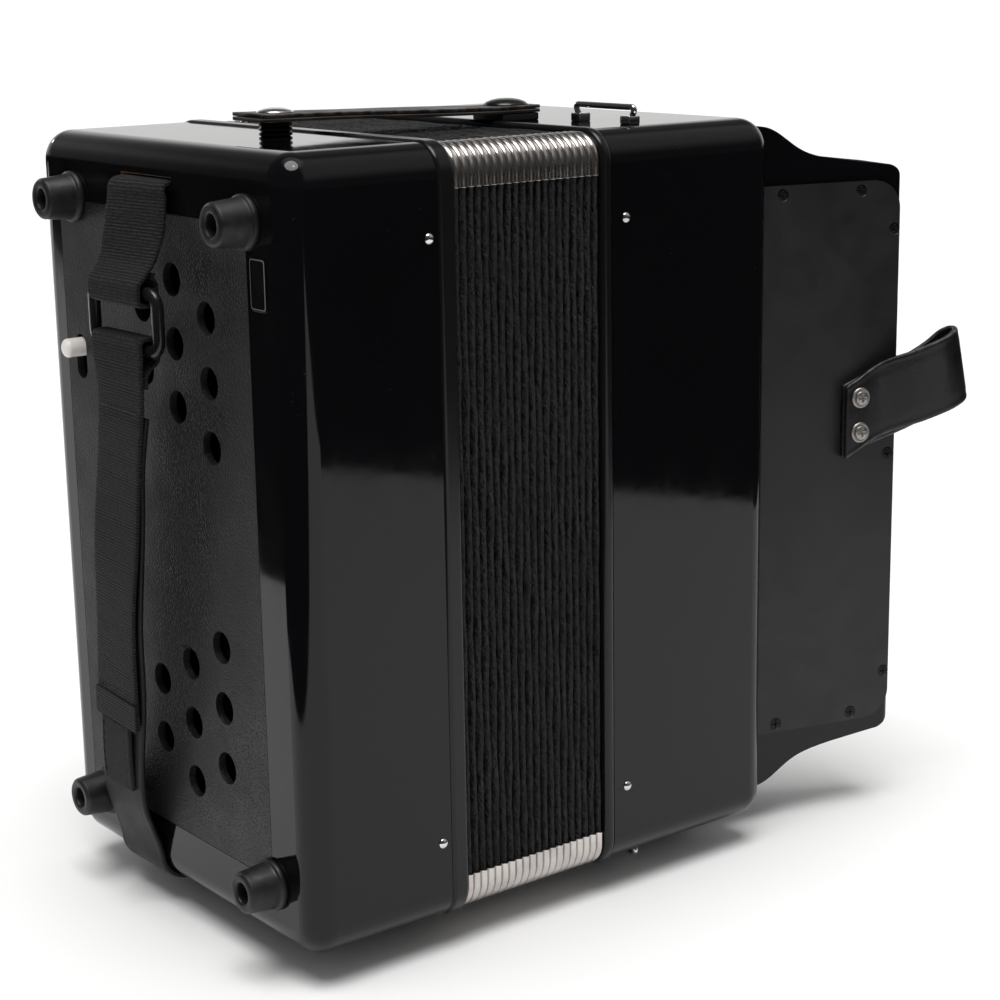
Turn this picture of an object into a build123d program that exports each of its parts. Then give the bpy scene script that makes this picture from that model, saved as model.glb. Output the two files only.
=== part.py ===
"""Three-row button accordion with a bass end, folding bellows and a treble end.

X runs along the bellows from the bass end to the treble end, -Y is the player's side, +Y the
audience side and +Z is up. While modelling, X = 0 is the bass end face, Y = 0 the player's face
and Z = 0 the middle of the height. The parts are moved as the last step, so that the origin is at
the bottom centre of the whole object.
"""

import math
import os

from build123d import *

# Body, in millimetres
HALF_HEIGHT = 145.0
DEPTH = 180.0
EDGE_RADIUS = 12.0
WALL = 8.0
BASS_END = 62.0
BELLOWS_START = 69.8
BELLOWS_END = 137.6
TREBLE_START = 142.4
TREBLE_END = 227.0
FRAME_PROUD = 0.8
MIDDLE_Y = DEPTH / 2

# Bass end plate and what goes through it
PLATE_Y = (26.5, 163.0)
PLATE_HALF_HEIGHT = 120.0
PLATE_THICKNESS = 3.0
PLATE_CORNER = 5.0
PLATE_LEDGE = 5.0
SEAM = 0.25
SOUND_HOLE_RADIUS = 6.2
SOUND_HOLES = (
    (55.6, (37.5, 61.0, 84.5)),
    (78.6, (49.2, 72.7, 96.2)),
    (101.2, (60.8, 84.4)),
)
AIR_SLOT_Y = 152.0
AIR_SLOT_Z = (50.0, 67.6)
AIR_SLOT_WIDTH = 8.2
AIR_PIN_RADIUS = 3.7
AIR_PIN_Z = 62.6
AIR_PIN_TIP = -7.5
AIR_TRAVEL = 8.0

# Rubber feet on the bass end and under the casings
END_FOOT_Y = (26.3, 151.0)
END_FOOT_Z = 121.0
END_FOOT_HEIGHT = 14.0
BASE_FOOT_Y = (40.0, 140.0)
BASS_BASE_FOOT_X = 38.0
TREBLE_BASE_FOOT_X = 205.0
BASE_FOOT_HEIGHT = 12.0
BASE_FOOT_RADIUS = 8.0

# Bellows
PLEATS = 20
PLEAT_DEPTH = 3.2
FOLD_DEPTH = 24.0
BELLOWS_INSET = 1.2
BELLOWS_CORNER_RADIUS = 10.0
CORNER_REACH = 16.0
CORNER_PROUD = 0.4
PIN_Z = 112.5
BASS_PIN_X = 58.2
TREBLE_PIN_X = 149.2
PIN_HEAD_RADIUS = 2.1
PIN_RADIUS = 1.1

# Hand strap: heights along it, where its middle lies across the face there, and how far its edge
# towards the player stands nearer the face than its other edge does
WEBBING_WIDTH = 35.0
WEBBING_THICKNESS = 1.8
STRAP_COURSE = (
    (135.0, 94.0, 2.0), (124.0, 92.5, 4.0), (113.0, 91.5, 4.6), (104.0, 91.6, 3.0), (97.0, 92.0, 1.4),
    (86.0, 92.2, 1.4), (78.0, 92.4, 0.8), (69.0, 92.6, 0.8), (60.0, 93.2, -0.6), (46.0, 94.8, -1.6),
    (24.0, 99.5, -1.7), (1.0, 103.8, -1.1), (-22.0, 107.5, -2.6), (-40.0, 109.3, -3.8),
    (-66.0, 111.0, -2.2), (-78.0, 112.0, -2.0),
)
TAB_WIDTH = 24.0
RING_Y = 91.0
RING_Z = (69.0, 95.0)
RING_X = -12.6
RING_THICKNESS = 4.0
RING_WIDTH = 49.0
RING_BAR = 5.0
RING_CORNER = 4.0
RING_TURN = 2.3
LEATHER_THICKNESS = 2.4
LEATHER_GAP = 0.25
LEATHER_END_X = 24.0
LEATHER_RIM_STEPS = 5
TOP_SLOT = (75.4, 113.0, 128.6, 133.0)
BADGE = (14.0, 24.3, 91.0, 109.5)
BADGE_THICKNESS = 0.6

# Bellows straps, mirrored above and below the body
STRAP_MIDDLE_Y = 75.0
STRAP_WIDTH = 20.0
STRAP_THICKNESS = 3.0
STRAP_FREE_X = 32.5
STRAP_FREE_BASE = 150.9
STRAP_FREE_CORNER = 1.5
STRAP_HINGE_X = 141.0
STRAP_HINGE_Z = 149.5
STUD_X = 44.5
STUD_RADIUS = 6.2
STUD_GROOVE = 0.9
STUD_RINGS = 3
STUD_TOP = 150.15
SNAP_RADIUS = 7.0
SNAP_SINK = 0.55
SNAP_HEIGHT = 2.0
SNAP_ROUNDING = 1.5
ANCHOR_START = 142.9
ANCHOR_END = 161.3
ANCHOR_TOP = 151.0
ANCHOR_CAP_X = 151.9
ANCHOR_CAP_RADIUS = 8.9
ANCHOR_CAP_HEIGHT = 2.6
ANCHOR_CAP_ROUNDING = 2.2

# Shoulder strap brackets, above and below the treble casing
BRACKET_X = 167.5
BRACKET_FOOT_Y = (18.5, 47.5)
BRACKET_BAR_Y = (15.5, 50.5)
BRACKET_BAR_Z = 151.4
BRACKET_WIRE = 1.2
BRACKET_FOOT_HALF = 2.8
BRACKET_FOOT_HEIGHT = 3.2

# Grille on the audience side of the treble casing, its holes in staggered columns
GRILLE_X = (152.0, 215.0)
GRILLE_HALF_HEIGHT = 122.0
GRILLE_THICKNESS = 3.0
GRILLE_LEDGE = 5.0
GRILLE_COLUMNS = ((168.0, 0.0), (183.5, 8.75), (199.0, 0.0))
GRILLE_PITCH = 17.5
GRILLE_HALF_COUNT = 6
GRILLE_REACH = 108.0
GRILLE_HOLE_RADIUS = 5.5

# Fingerboard: its rear plane leans towards the player, W runs along it away from the body
BOARD_ORIGIN = (230.0, 18.0)
BOARD_LEAN = 15.65
BOARD_END_W = 73.5
BOARD_END_THICKNESS = 24.0
FRONT_ROOT = (227.0, 62.0)
COVER_THICKNESS = 2.0
COVER_W = (4.9, 71.4)
COVER_HALF_HEIGHT = 116.2
COVER_CORNER = 12.0
CHEEK = (
    (5.0, 140.3), (9.5, 139.7), (13.5, 138.0), (22.5, 131.9), (30.3, 128.2),
    (41.7, 125.7), (58.9, 123.4),
)
BOARD_CORNER = 8.0
BOARD_HALF_END = 122.6
CAVITY_W = (8.0, 64.0)
CAVITY_ROOT = (231.0, 40.0)
CAVITY_HALF_HEIGHT = 108.0
FRONT_PLATE = 5.5
COVER_SCREWS = (
    (16.0, 112.5), (52.8, 112.5), (69.0, 96.0), (68.2, 1.0), (69.0, -96.0), (52.8, -112.5),
    (16.0, -112.5),
)
RAIL_W = (48.0, 61.0)
RAIL_DEPTH = 7.0

# Buttons
BUTTON_ROWS = ((20.0, 10), (40.0, 11), (60.0, 10))
BUTTON_PITCH = 19.0
BUTTON_RADIUS = 6.2
BUTTON_PROUD = 6.0
BUTTON_HOLE = 6.65
BUTTON_COLLAR = 7.8
COLLAR_THICKNESS = 1.6
COLLAR_GAP = 0.3
BASS_ROWS_X = (33.0, 48.0)
BASS_BUTTONS = 6
BASS_PITCH = 20.0
BASS_BUTTON_RADIUS = 5.2
BASS_HOLE_RADIUS = 5.6
BASS_WELL_X = (25.0, 56.0)
BASS_WELL_HALF = 62.0
BASS_WELL_DEPTH = 14.0

# Thumb strap: W, distance out from the board's rear, height of its middle, and lean of its width
# towards the root in degrees
THUMB_SCREWS = ((51.2, 27.2), (51.2, 12.5))
THUMB_SEAT = 5.45
THUMB_WIDTH = 31.0
THUMB_THICKNESS = 2.4
THUMB_PATH = (
    (44.9, 4.1, 17.0, 0.0), (50.0, 4.1, 19.5, 0.0), (56.0, 4.1, 23.0, 1.0), (62.0, 4.9, 26.0, 3.0),
    (68.0, 7.6, 28.5, 5.0), (75.0, 11.2, 31.0, 7.0), (82.0, 14.2, 34.0, 9.0), (87.0, 15.5, 36.2, 10.0),
    (91.5, 15.0, 38.2, 11.0), (94.5, 12.6, 39.3, 11.0), (95.4, 9.9, 39.6, 11.0),
    (94.4, 7.2, 39.3, 11.0), (91.3, 5.3, 37.4, 11.0), (86.5, 4.0, 33.5, 10.0), (81.0, 2.8, 30.0, 9.0),
    (75.0, 1.9, 27.2, 7.0), (68.0, 1.5, 24.8, 5.0), (62.0, 1.4, 23.0, 3.0), (56.0, 1.4, 21.2, 1.0),
    (50.0, 1.4, 19.0, 0.0), (44.9, 1.4, 17.0, 0.0),
)

# Inside
SOUNDBOARD = 5.0
BLOCK_Y = (42.0, 78.0, 114.0)
BLOCK_WIDTH = 24.0
BLOCK_HALF_HEIGHT = 100.0
BLOCK_HEIGHT = 26.0
REED_SLOTS = 10

parts = {}


def box(x0, x1, y0, y1, z0, z1):
    """A box between two corners."""
    middle = ((x0 + x1) / 2, (y0 + y1) / 2, (z0 + z1) / 2)
    return Pos(*middle) * Box(x1 - x0, y1 - y0, z1 - z0)


def rod(start, end, radius):
    """A cylinder from one point to another."""
    a, b = Vector(*start), Vector(*end)
    plane = Plane(origin=a, z_dir=b - a)
    return extrude(plane * Circle(radius), (b - a).length)


def group(solids):
    """Separate solids kept together as one node."""
    return Compound(children=[solid for shape in solids for solid in shape.solids()])


def mirrored(shape):
    """The same shape on the other side of the mid-height plane."""
    return mirror(shape, about=Plane.XY)


def block(x0, x1, grow=0.0, radius=EDGE_RADIUS):
    """The body's section between two planes across X, with rounded long edges."""
    height = 2 * (HALF_HEIGHT + grow)
    section = RectangleRounded(DEPTH + 2 * grow, height, radius)
    plane = Plane(origin=(x0, MIDDLE_Y, 0), x_dir=(0, 1, 0), z_dir=(1, 0, 0))
    return extrude(plane * section, x1 - x0)


def round_end(shape, x, radius):
    """Round the rim of the end face at x."""
    rim = shape.edges().filter_by(lambda e: abs(e.center().X - x) < 0.01)
    return fillet(rim, radius)


def band(points, half_widths, thickness):
    """A strap in straight spans through points, with the vector from its middle to one edge at each."""
    points = [Vector(*p) for p in points]
    sections = []
    for i, (point, half_width) in enumerate(zip(points, half_widths)):
        before, after = points[max(i - 1, 0)], points[min(i + 1, len(points) - 1)]
        lateral = half_width.normalized()
        tangent = after - before
        tangent = (tangent - lateral * tangent.dot(lateral)).normalized()
        half_thickness = tangent.cross(lateral) * (thickness / 2)
        corners = [
            point + half_width + half_thickness,
            point - half_width + half_thickness,
            point - half_width - half_thickness,
            point + half_width - half_thickness,
        ]
        sections.append(Wire.make_polygon(corners, close=True))
    return Solid.make_loft(sections, ruled=True)


def strap_course(z):
    """The middle of the hand strap across the face, and its edges' difference in X, at a height."""
    for (z_high, *high), (z_low, *low) in zip(STRAP_COURSE, STRAP_COURSE[1:]):
        if z >= z_low:
            share = (z - z_low) / (z_high - z_low)
            return [b + (a - b) * share for a, b in zip(high, low)]
    return STRAP_COURSE[-1][1:]


def webbing_band(profile):
    """A length of webbing along a side profile of (x, z) points, following the hand strap's course."""
    points, half_widths = [], []
    for x, z in profile:
        y, lean = strap_course(z)
        points.append((x, y, z))
        half_widths.append(Vector(-lean, WEBBING_WIDTH, 0) / 2)
    return band(points, half_widths, WEBBING_THICKNESS)


def leaning_band(course, thickness):
    """A band through (x, y, z, lean, width) points, its lean taken as in the hand strap's course."""
    points = [point[:3] for point in course]
    half_widths = [Vector(-lean, width, 0) / 2 for *_, lean, width in course]
    return band(points, half_widths, thickness)


def board_plane(w, z, off):
    """A plane on the fingerboard's rear at W and Z, off millimetres in from it, facing inwards."""
    base = Plane(origin=(*BOARD_ORIGIN, 0)).rotated((0, 0, -BOARD_LEAN))
    along, inwards = base.x_dir, base.y_dir
    return Plane(
        origin=base.origin + along * w + inwards * off + Vector(0, 0, z), x_dir=along, z_dir=inwards
    )


def board_point(w, off, z):
    """A point at W along the fingerboard's rear, off millimetres in from it."""
    return board_plane(w, z, off).origin


def front_plane(s, z, off=0.0):
    """A plane on the fingerboard's front, s millimetres from its root, facing out."""
    root = Vector(*FRONT_ROOT, 0)
    end = board_point(BOARD_END_W, BOARD_END_THICKNESS, 0)
    along = (end - root).normalized()
    outwards = Vector(0, 0, 1).cross(along)
    return Plane(origin=root + along * s + outwards * off + Vector(0, 0, z), x_dir=along, z_dir=outwards)


# Bass casing: a shell that opens to the bellows, with a window for the end plate
bass_outside = round_end(block(0, BASS_END), 0, EDGE_RADIUS - 2)
casing = bass_outside - box(WALL, BASS_END, WALL, DEPTH - WALL, WALL - HALF_HEIGHT, HALF_HEIGHT - WALL)
well_wall = BASS_WELL_HALF + WALL + 2
casing += box(17, BASS_END - SOUNDBOARD, DEPTH - 34, DEPTH - WALL, -well_wall, well_wall)
casing -= box(*BASS_WELL_X, DEPTH - BASS_WELL_DEPTH, DEPTH + 1, -BASS_WELL_HALF, BASS_WELL_HALF)
casing -= box(-1, PLATE_THICKNESS, *PLATE_Y, -PLATE_HALF_HEIGHT, PLATE_HALF_HEIGHT)
casing -= box(
    0,
    WALL,
    PLATE_Y[0] + PLATE_LEDGE,
    PLATE_Y[1] - PLATE_LEDGE,
    PLATE_LEDGE - PLATE_HALF_HEIGHT,
    PLATE_HALF_HEIGHT - PLATE_LEDGE,
)
casing -= box(-1, WALL, *TOP_SLOT)
bass_buttons = []
for x in BASS_ROWS_X:
    row = [(x, (i - (BASS_BUTTONS - 1) / 2) * BASS_PITCH) for i in range(BASS_BUTTONS)]
    bass_buttons.append(row)
floor_y = DEPTH - BASS_WELL_DEPTH
for x, z in bass_buttons[0] + bass_buttons[1]:
    casing -= rod((x, floor_y - 12, z), (x, floor_y + 1, z), BASS_HOLE_RADIUS)

# Bass end plate
plate = box(
    0,
    PLATE_THICKNESS,
    PLATE_Y[0] + SEAM,
    PLATE_Y[1] - SEAM,
    SEAM - PLATE_HALF_HEIGHT,
    PLATE_HALF_HEIGHT - SEAM,
)
for y, heights in SOUND_HOLES:
    for z in heights:
        for side in (1, -1):
            plate -= rod((-1, y, side * z), (PLATE_THICKNESS + 1, y, side * z), SOUND_HOLE_RADIUS)
half_slot = AIR_SLOT_WIDTH / 2
slot_low, slot_high = AIR_SLOT_Z[0] + half_slot, AIR_SLOT_Z[1] - half_slot
plate -= box(
    -1, PLATE_THICKNESS + 1, AIR_SLOT_Y - half_slot, AIR_SLOT_Y + half_slot, slot_low, slot_high
)
for z in (slot_low, slot_high):
    plate -= rod((-1, AIR_SLOT_Y, z), (PLATE_THICKNESS + 1, AIR_SLOT_Y, z), half_slot)

# Feet on the bass end, with their screws, as profiles of (radius, x)
profile_plane = Plane(origin=(0, 0, 0), x_dir=(0, 1, 0), z_dir=(0, 0, -1))
foot_profile = [
    (3.85, -END_FOOT_HEIGHT), (6.9, -END_FOOT_HEIGHT), (7.75, -END_FOOT_HEIGHT + 0.9),
    (8.9, -2.2), (9.8, -1.6), (9.8, 0.0), (1.8, 0.0), (1.8, -4.0), (3.85, -4.0),
]
foot_section = make_face(Polyline(*foot_profile, close=True))
end_foot = revolve(profile_plane * foot_section, Axis((0, 0, 0), (1, 0, 0)))
screw_profile = [
    (0.0, -7.2), (2.0, -7.2), (3.3, -5.6), (3.3, -4.02), (1.6, -4.02), (1.6, 7.0), (0.0, 7.0),
]
screw_section = make_face(Polyline(*screw_profile, close=True))
end_screw = revolve(profile_plane * screw_section, Axis((0, 0, 0), (1, 0, 0)))
bass_feet, bass_fasteners = [], []
for y in END_FOOT_Y:
    for z in (END_FOOT_Z, -END_FOOT_Z):
        bass_feet.append(Pos(0, y, z) * end_foot)
        bass_fasteners.append(Pos(0, y, z) * end_screw)
        hole = rod((-1, y, z), (WALL + 1, y, z), 1.8)
        plate -= hole
        casing -= hole


def base_foot(x, y):
    """A plain rubber foot under a casing."""
    foot = rod((x, y, -HALF_HEIGHT), (x, y, -HALF_HEIGHT - BASE_FOOT_HEIGHT), BASE_FOOT_RADIUS)
    tip = foot.edges().sort_by(Axis.Z)[0]
    return chamfer(tip, 1.2)


bass_feet += [base_foot(BASS_BASE_FOOT_X, y) for y in BASE_FOOT_Y]


def bellows_pins(x):
    """Four headed pins through the long edges of a casing, two on each face."""
    pins, holes = [], []
    for face, inwards in ((0.0, 1.0), (DEPTH, -1.0)):
        for z in (PIN_Z, -PIN_Z):
            head = rod((x, face - inwards * 1.3, z), (x, face, z), PIN_HEAD_RADIUS)
            shank = rod((x, face, z), (x, face + inwards * 7.0, z), PIN_RADIUS)
            pins.append(head + shank)
            holes.append(rod((x, face - inwards, z), (x, face + inwards * 7.5, z), PIN_RADIUS + 0.1))
    return pins, holes


pins, holes = bellows_pins(BASS_PIN_X)
bass_fasteners += pins
for hole in holes:
    casing -= hole
parts["bass_casing"] = casing
parts["bass_end_plate"] = plate
parts["bass_feet"] = group(bass_feet)
parts["bass_fasteners"] = group(bass_fasteners)
parts["key_badge"] = box(-BADGE_THICKNESS, 0, *BADGE)


def bellows_frame(x0, x1):
    """The rounded frame that closes one end of the bellows."""
    ring = block(x0, x1, FRAME_PROUD, EDGE_RADIUS + FRAME_PROUD)
    for x in (x0, x1):
        ring = round_end(ring, x, 1.9)
    opening = block(x0 - 1, x1 + 1, -FOLD_DEPTH + 4, 4)
    return ring - opening


parts["bass_frame"] = bellows_frame(BASS_END, BELLOWS_START)
parts["treble_frame"] = bellows_frame(BELLOWS_END, TREBLE_START)


def pleated(grow):
    """The outside of the closed bellows, one ridge for each pleat."""
    pitch = (BELLOWS_END - BELLOWS_START) / PLEATS
    stations = []
    for i in range(PLEATS):
        x = BELLOWS_START + i * pitch
        stations += [(x, PLEAT_DEPTH), (x + 0.36 * pitch, 0.0), (x + 0.64 * pitch, 0.0)]
    stations.append((BELLOWS_END, PLEAT_DEPTH))
    wires = []
    for x, sink in stations:
        inset = BELLOWS_INSET + sink - grow
        plane = Plane(origin=(x, MIDDLE_Y, 0), x_dir=(0, 1, 0), z_dir=(1, 0, 0))
        section = RectangleRounded(
            DEPTH - 2 * inset, 2 * (HALF_HEIGHT - inset), BELLOWS_CORNER_RADIUS - sink + grow
        )
        wires.append((plane * section).wire())
    return Solid.make_loft(wires, ruled=True)


bellows_hollow = block(BELLOWS_START - 1, BELLOWS_END + 1, -FOLD_DEPTH - BELLOWS_INSET, 4)
corner_sides = ((-2, CORNER_REACH), (DEPTH - CORNER_REACH, DEPTH + 2))
corner_heights = (
    (HALF_HEIGHT - CORNER_REACH, HALF_HEIGHT + 2), (-HALF_HEIGHT - 2, CORNER_REACH - HALF_HEIGHT),
)
corner_blocks = []
for sides in corner_sides:
    for heights in corner_heights:
        corner_blocks.append(box(BELLOWS_START, BELLOWS_END, *sides, *heights))
folds = pleated(0) - bellows_hollow
proud = pleated(CORNER_PROUD) - bellows_hollow
corners = [proud & corner for corner in corner_blocks]
for corner in corner_blocks:
    folds -= corner
parts["bellows_folds"] = folds
parts["bellows_corners"] = group(corners)

# Hand strap: webbing from the top slot to the ring, then doubled webbing down over a leather strap
# that runs round the lower rim and under the casing
upper_profile = (
    (4.0, 131.0), (-1.6, 130.9), (-4.2, 129.0), (-4.9, 124.0), (-7.2, 113.5), (-10.2, 104.0),
    (-13.8, 98.4), (-16.2, 95.2), (-16.3, 89.8), (-14.7, 88.3), (-10.6, 88.3), (-9.1, 89.8),
    (-9.0, 95.2), (-10.4, 98.0), (-10.2, 99.8),
)
lower_profile = (
    (-13.5, 58.0), (-13.7, 62.0), (-11.9, 65.3), (-9.1, 68.0), (-9.1, 74.4), (-10.7, 75.9),
    (-14.5, 75.9), (-16.1, 74.4),
    (-16.2, 69.0), (-15.8, 62.0), (-15.0, 52.0), (-14.7, 30.0), (-14.6, 0.0), (-14.7, -30.0),
    (-14.6, -60.0), (-14.2, -77.0),
)
tab_course = (
    (-13.9, 114.6, -78.4, -1.3, TAB_WIDTH), (-13.4, 116.2, -92.0, -1.0, TAB_WIDTH),
    (-11.7, 118.6, -105.5, -0.8, TAB_WIDTH),
)
webbing = [webbing_band(upper_profile), webbing_band(lower_profile)]
webbing.append(leaning_band(tab_course, WEBBING_THICKNESS))
parts["hand_strap_webbing"] = group(webbing)
leather_course = [
    (-11.3, 97.0, 46.0, -1.6, 35.0), (-11.5, 102.5, 25.0, -1.7, 35.0), (-11.5, 105.6, 3.0, -1.2, 35.0),
    (-11.5, 107.4, -20.0, -2.4, 35.0), (-11.5, 108.6, -38.0, -3.6, 35.0),
    (-11.4, 111.4, -66.0, -2.2, 35.0), (-10.7, 117.0, -95.0, -1.2, 34.0),
    (-8.3, 121.0, -112.0, -0.6, 33.0), (-5.2, 122.0, -122.0, -0.2, 32.0),
    (-2.7, 122.0, -130.0, 0.0, 32.0),
]
rim_radius = EDGE_RADIUS - 2
leather_offset = LEATHER_THICKNESS / 2 + LEATHER_GAP
leather_radius = rim_radius + leather_offset
for step in range(LEATHER_RIM_STEPS + 1):
    angle = math.radians(90 * step / LEATHER_RIM_STEPS)
    x = rim_radius - leather_radius * math.cos(angle)
    z = rim_radius - HALF_HEIGHT - leather_radius * math.sin(angle)
    leather_course.append((x, 122.0, z, 0.0, 32.0))
leather_course.append((LEATHER_END_X, 122.0, -HALF_HEIGHT - leather_offset, 0.0, 32.0))
parts["hand_strap_leather"] = leaning_band(leather_course, LEATHER_THICKNESS)
ring_height = RING_Z[1] - RING_Z[0]
ring = Box(RING_THICKNESS, RING_WIDTH, ring_height)
ring -= Box(2 * RING_THICKNESS, RING_WIDTH - 2 * RING_BAR, ring_height - 2 * RING_BAR)
outer_corners = ring.edges().filter_by(Axis.X).sort_by_distance((0, 0, 0))[-4:]
ring = fillet(outer_corners, RING_CORNER)
parts["hand_strap_ring"] = Pos(RING_X, RING_Y, sum(RING_Z) / 2) * Rot(0, 0, RING_TURN) * ring

# Reed blocks on their soundboards, standing into the bellows from both sides
def reed_block(board_x, facing):
    """A soundboard with three reed blocks, facing +1 or -1 along X."""
    board = box(
        min(board_x, board_x - facing * SOUNDBOARD),
        max(board_x, board_x - facing * SOUNDBOARD),
        WALL,
        DEPTH - WALL,
        WALL - HALF_HEIGHT,
        HALF_HEIGHT - WALL,
    )
    far = board_x + facing * BLOCK_HEIGHT
    shape = board
    low, high = min(board_x, far), max(board_x, far)
    for y in BLOCK_Y:
        shape += box(low, high, y, y + BLOCK_WIDTH, -BLOCK_HALF_HEIGHT, BLOCK_HALF_HEIGHT)
    pitch = 2 * BLOCK_HALF_HEIGHT / REED_SLOTS
    for i in range(REED_SLOTS):
        z = (i + 0.5) * pitch - BLOCK_HALF_HEIGHT
        for y in BLOCK_Y:
            shape -= box(low + 4, high - 4, y - 1, y + 3, z - 6, z + 6)
    return shape


parts["bass_reed_block"] = reed_block(BASS_END, 1)
parts["treble_reed_block"] = reed_block(TREBLE_START, -1)

# Air button: a pin through the slot on a sliding plate behind it
pin = rod((AIR_PIN_TIP, AIR_SLOT_Y, AIR_PIN_Z), (5.0, AIR_SLOT_Y, AIR_PIN_Z), AIR_PIN_RADIUS)
tip = pin.edges().sort_by(Axis.X)[0]
pin = fillet(tip, 1.4)
slide = box(
    PLATE_THICKNESS + 0.6,
    PLATE_THICKNESS + 4.0,
    AIR_SLOT_Y - 5.0,
    AIR_SLOT_Y + 5.0,
    AIR_PIN_Z - 20,
    AIR_PIN_Z + 26,
)
parts["air_button"] = pin + slide

# Treble casing
treble_outside = round_end(block(TREBLE_START, TREBLE_END), TREBLE_END, EDGE_RADIUS - 2)
casing = treble_outside - box(
    TREBLE_START, TREBLE_END - WALL, WALL, DEPTH - WALL, WALL - HALF_HEIGHT, HALF_HEIGHT - WALL
)
grille_seat = DEPTH - GRILLE_THICKNESS
casing -= box(*GRILLE_X, grille_seat, DEPTH + 1, -GRILLE_HALF_HEIGHT, GRILLE_HALF_HEIGHT)
casing -= box(
    GRILLE_X[0] + GRILLE_LEDGE,
    GRILLE_X[1] - GRILLE_LEDGE,
    DEPTH - WALL - 1,
    DEPTH + 1,
    GRILLE_LEDGE - GRILLE_HALF_HEIGHT,
    GRILLE_HALF_HEIGHT - GRILLE_LEDGE,
)
pins, holes = bellows_pins(TREBLE_PIN_X)
treble_fasteners = pins
for hole in holes:
    casing -= hole
parts["treble_casing"] = casing
grille = box(
    GRILLE_X[0] + SEAM,
    GRILLE_X[1] - SEAM,
    grille_seat,
    DEPTH,
    SEAM - GRILLE_HALF_HEIGHT,
    GRILLE_HALF_HEIGHT - SEAM,
)
for x, stagger in GRILLE_COLUMNS:
    for i in range(-GRILLE_HALF_COUNT, GRILLE_HALF_COUNT + 1):
        z = i * GRILLE_PITCH + stagger
        if abs(z) < GRILLE_REACH:
            grille -= rod((x, grille_seat - 1, z), (x, DEPTH + 1, z), GRILLE_HOLE_RADIUS)
parts["treble_grille"] = grille
parts["treble_feet"] = group([base_foot(TREBLE_BASE_FOOT_X, y) for y in BASE_FOOT_Y])

# Fingerboard: the cheek outline seen square to its rear, cut to the wedge seen from above
top_edge = Spline(*CHEEK, tangents=((1, -0.03), (1, -0.13)))
upper = [
    Line((-18.0, CHEEK[0][1]), CHEEK[0]),
    top_edge,
    Line(CHEEK[-1], (BOARD_END_W - BOARD_CORNER, BOARD_HALF_END)),
    RadiusArc(
        (BOARD_END_W - BOARD_CORNER, BOARD_HALF_END),
        (BOARD_END_W, BOARD_HALF_END - BOARD_CORNER),
        BOARD_CORNER,
    ),
]
lower = [mirror(edge, about=Plane.XZ) for edge in upper]
ends = [
    Line((BOARD_END_W, BOARD_HALF_END - BOARD_CORNER), (BOARD_END_W, BOARD_CORNER - BOARD_HALF_END)),
    Line((-18.0, CHEEK[0][1]), (-18.0, -CHEEK[0][1])),
]
outline_face = make_face(Curve() + [*upper, *lower, *ends])
board = extrude(board_plane(0, 0, 0) * outline_face, 90)
wedge_points = [
    board_point(-18, COVER_THICKNESS, 0),
    board_point(BOARD_END_W, COVER_THICKNESS, 0),
    board_point(BOARD_END_W, BOARD_END_THICKNESS, 0),
    front_plane(0, 0).origin,
    front_plane(-14, 0).origin,
]
wedge_face = make_face(Polyline(*wedge_points, close=True))
wedge_face = fillet(wedge_face.vertices().sort_by(Axis.X)[-2:], 3.0)
board &= extrude(wedge_face, HALF_HEIGHT, both=True)
board -= block(TREBLE_START, TREBLE_END)
cavity_points = [
    board_point(CAVITY_W[0], 0, 0),
    board_point(CAVITY_W[1], 0, 0),
    board_point(CAVITY_W[1], 40, 0),
    Vector(CAVITY_ROOT[0], 80, 0),
    Vector(*CAVITY_ROOT, 0),
]
cavity = extrude(make_face(Polyline(*cavity_points, close=True)), CAVITY_HALF_HEIGHT, both=True)
front_skin = [
    front_plane(-20, 0, -FRONT_PLATE).origin,
    front_plane(120, 0, -FRONT_PLATE).origin,
    front_plane(120, 0, 60).origin,
    front_plane(-20, 0, 60).origin,
]
cavity -= extrude(make_face(Polyline(*front_skin, close=True)), HALF_HEIGHT, both=True)
rail_points = [
    board_point(RAIL_W[0], -1, 0),
    board_point(RAIL_W[1], -1, 0),
    board_point(RAIL_W[1], COVER_THICKNESS + RAIL_DEPTH, 0),
    board_point(RAIL_W[0], COVER_THICKNESS + RAIL_DEPTH, 0),
]
cavity -= extrude(make_face(Polyline(*rail_points, close=True)), HALF_HEIGHT, both=True)
board -= cavity
button_places = []
for s, count in BUTTON_ROWS:
    for i in range(count):
        button_places.append((s, (i - (count - 1) / 2) * BUTTON_PITCH))
for s, z in button_places:
    board -= extrude(front_plane(s, z, -FRONT_PLATE - 0.5) * Circle(BUTTON_HOLE), FRONT_PLATE + 1)

# Fingerboard cover with its screws, and the thumb strap with its own
cover_middle = sum(COVER_W) / 2
cover_section = Rectangle(COVER_W[1] - COVER_W[0], 2 * COVER_HALF_HEIGHT)
far_corners = cover_section.vertices().sort_by(Axis.X)[-2:]
cover_section = fillet(far_corners, COVER_CORNER)
cover = extrude(board_plane(cover_middle, 0, 0) * cover_section, COVER_THICKNESS)
for w, z in COVER_SCREWS:
    plane = board_plane(w, z, 0)
    head = loft([plane * Circle(2.6), plane.offset(1.5) * Circle(1.3)])
    shank = extrude(plane.offset(1.5) * Circle(1.3), 7.5)
    hole = loft([plane.offset(-0.02) * Circle(2.72), plane.offset(1.5) * Circle(1.4)])
    hole += extrude(plane.offset(1.5) * Circle(1.4), 8)
    treble_fasteners.append(head + shank)
    cover -= hole
    board -= hole
board_along = board_plane(0, 0, 0).x_dir
thumb_halves = []
for *_, lean in THUMB_PATH:
    turned = Vector(0, 0, 1) * math.cos(math.radians(lean)) - board_along * math.sin(math.radians(lean))
    thumb_halves.append(turned * (THUMB_WIDTH / 2))
thumb_points = [board_point(w, -q, z) for w, q, z, _ in THUMB_PATH]
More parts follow.
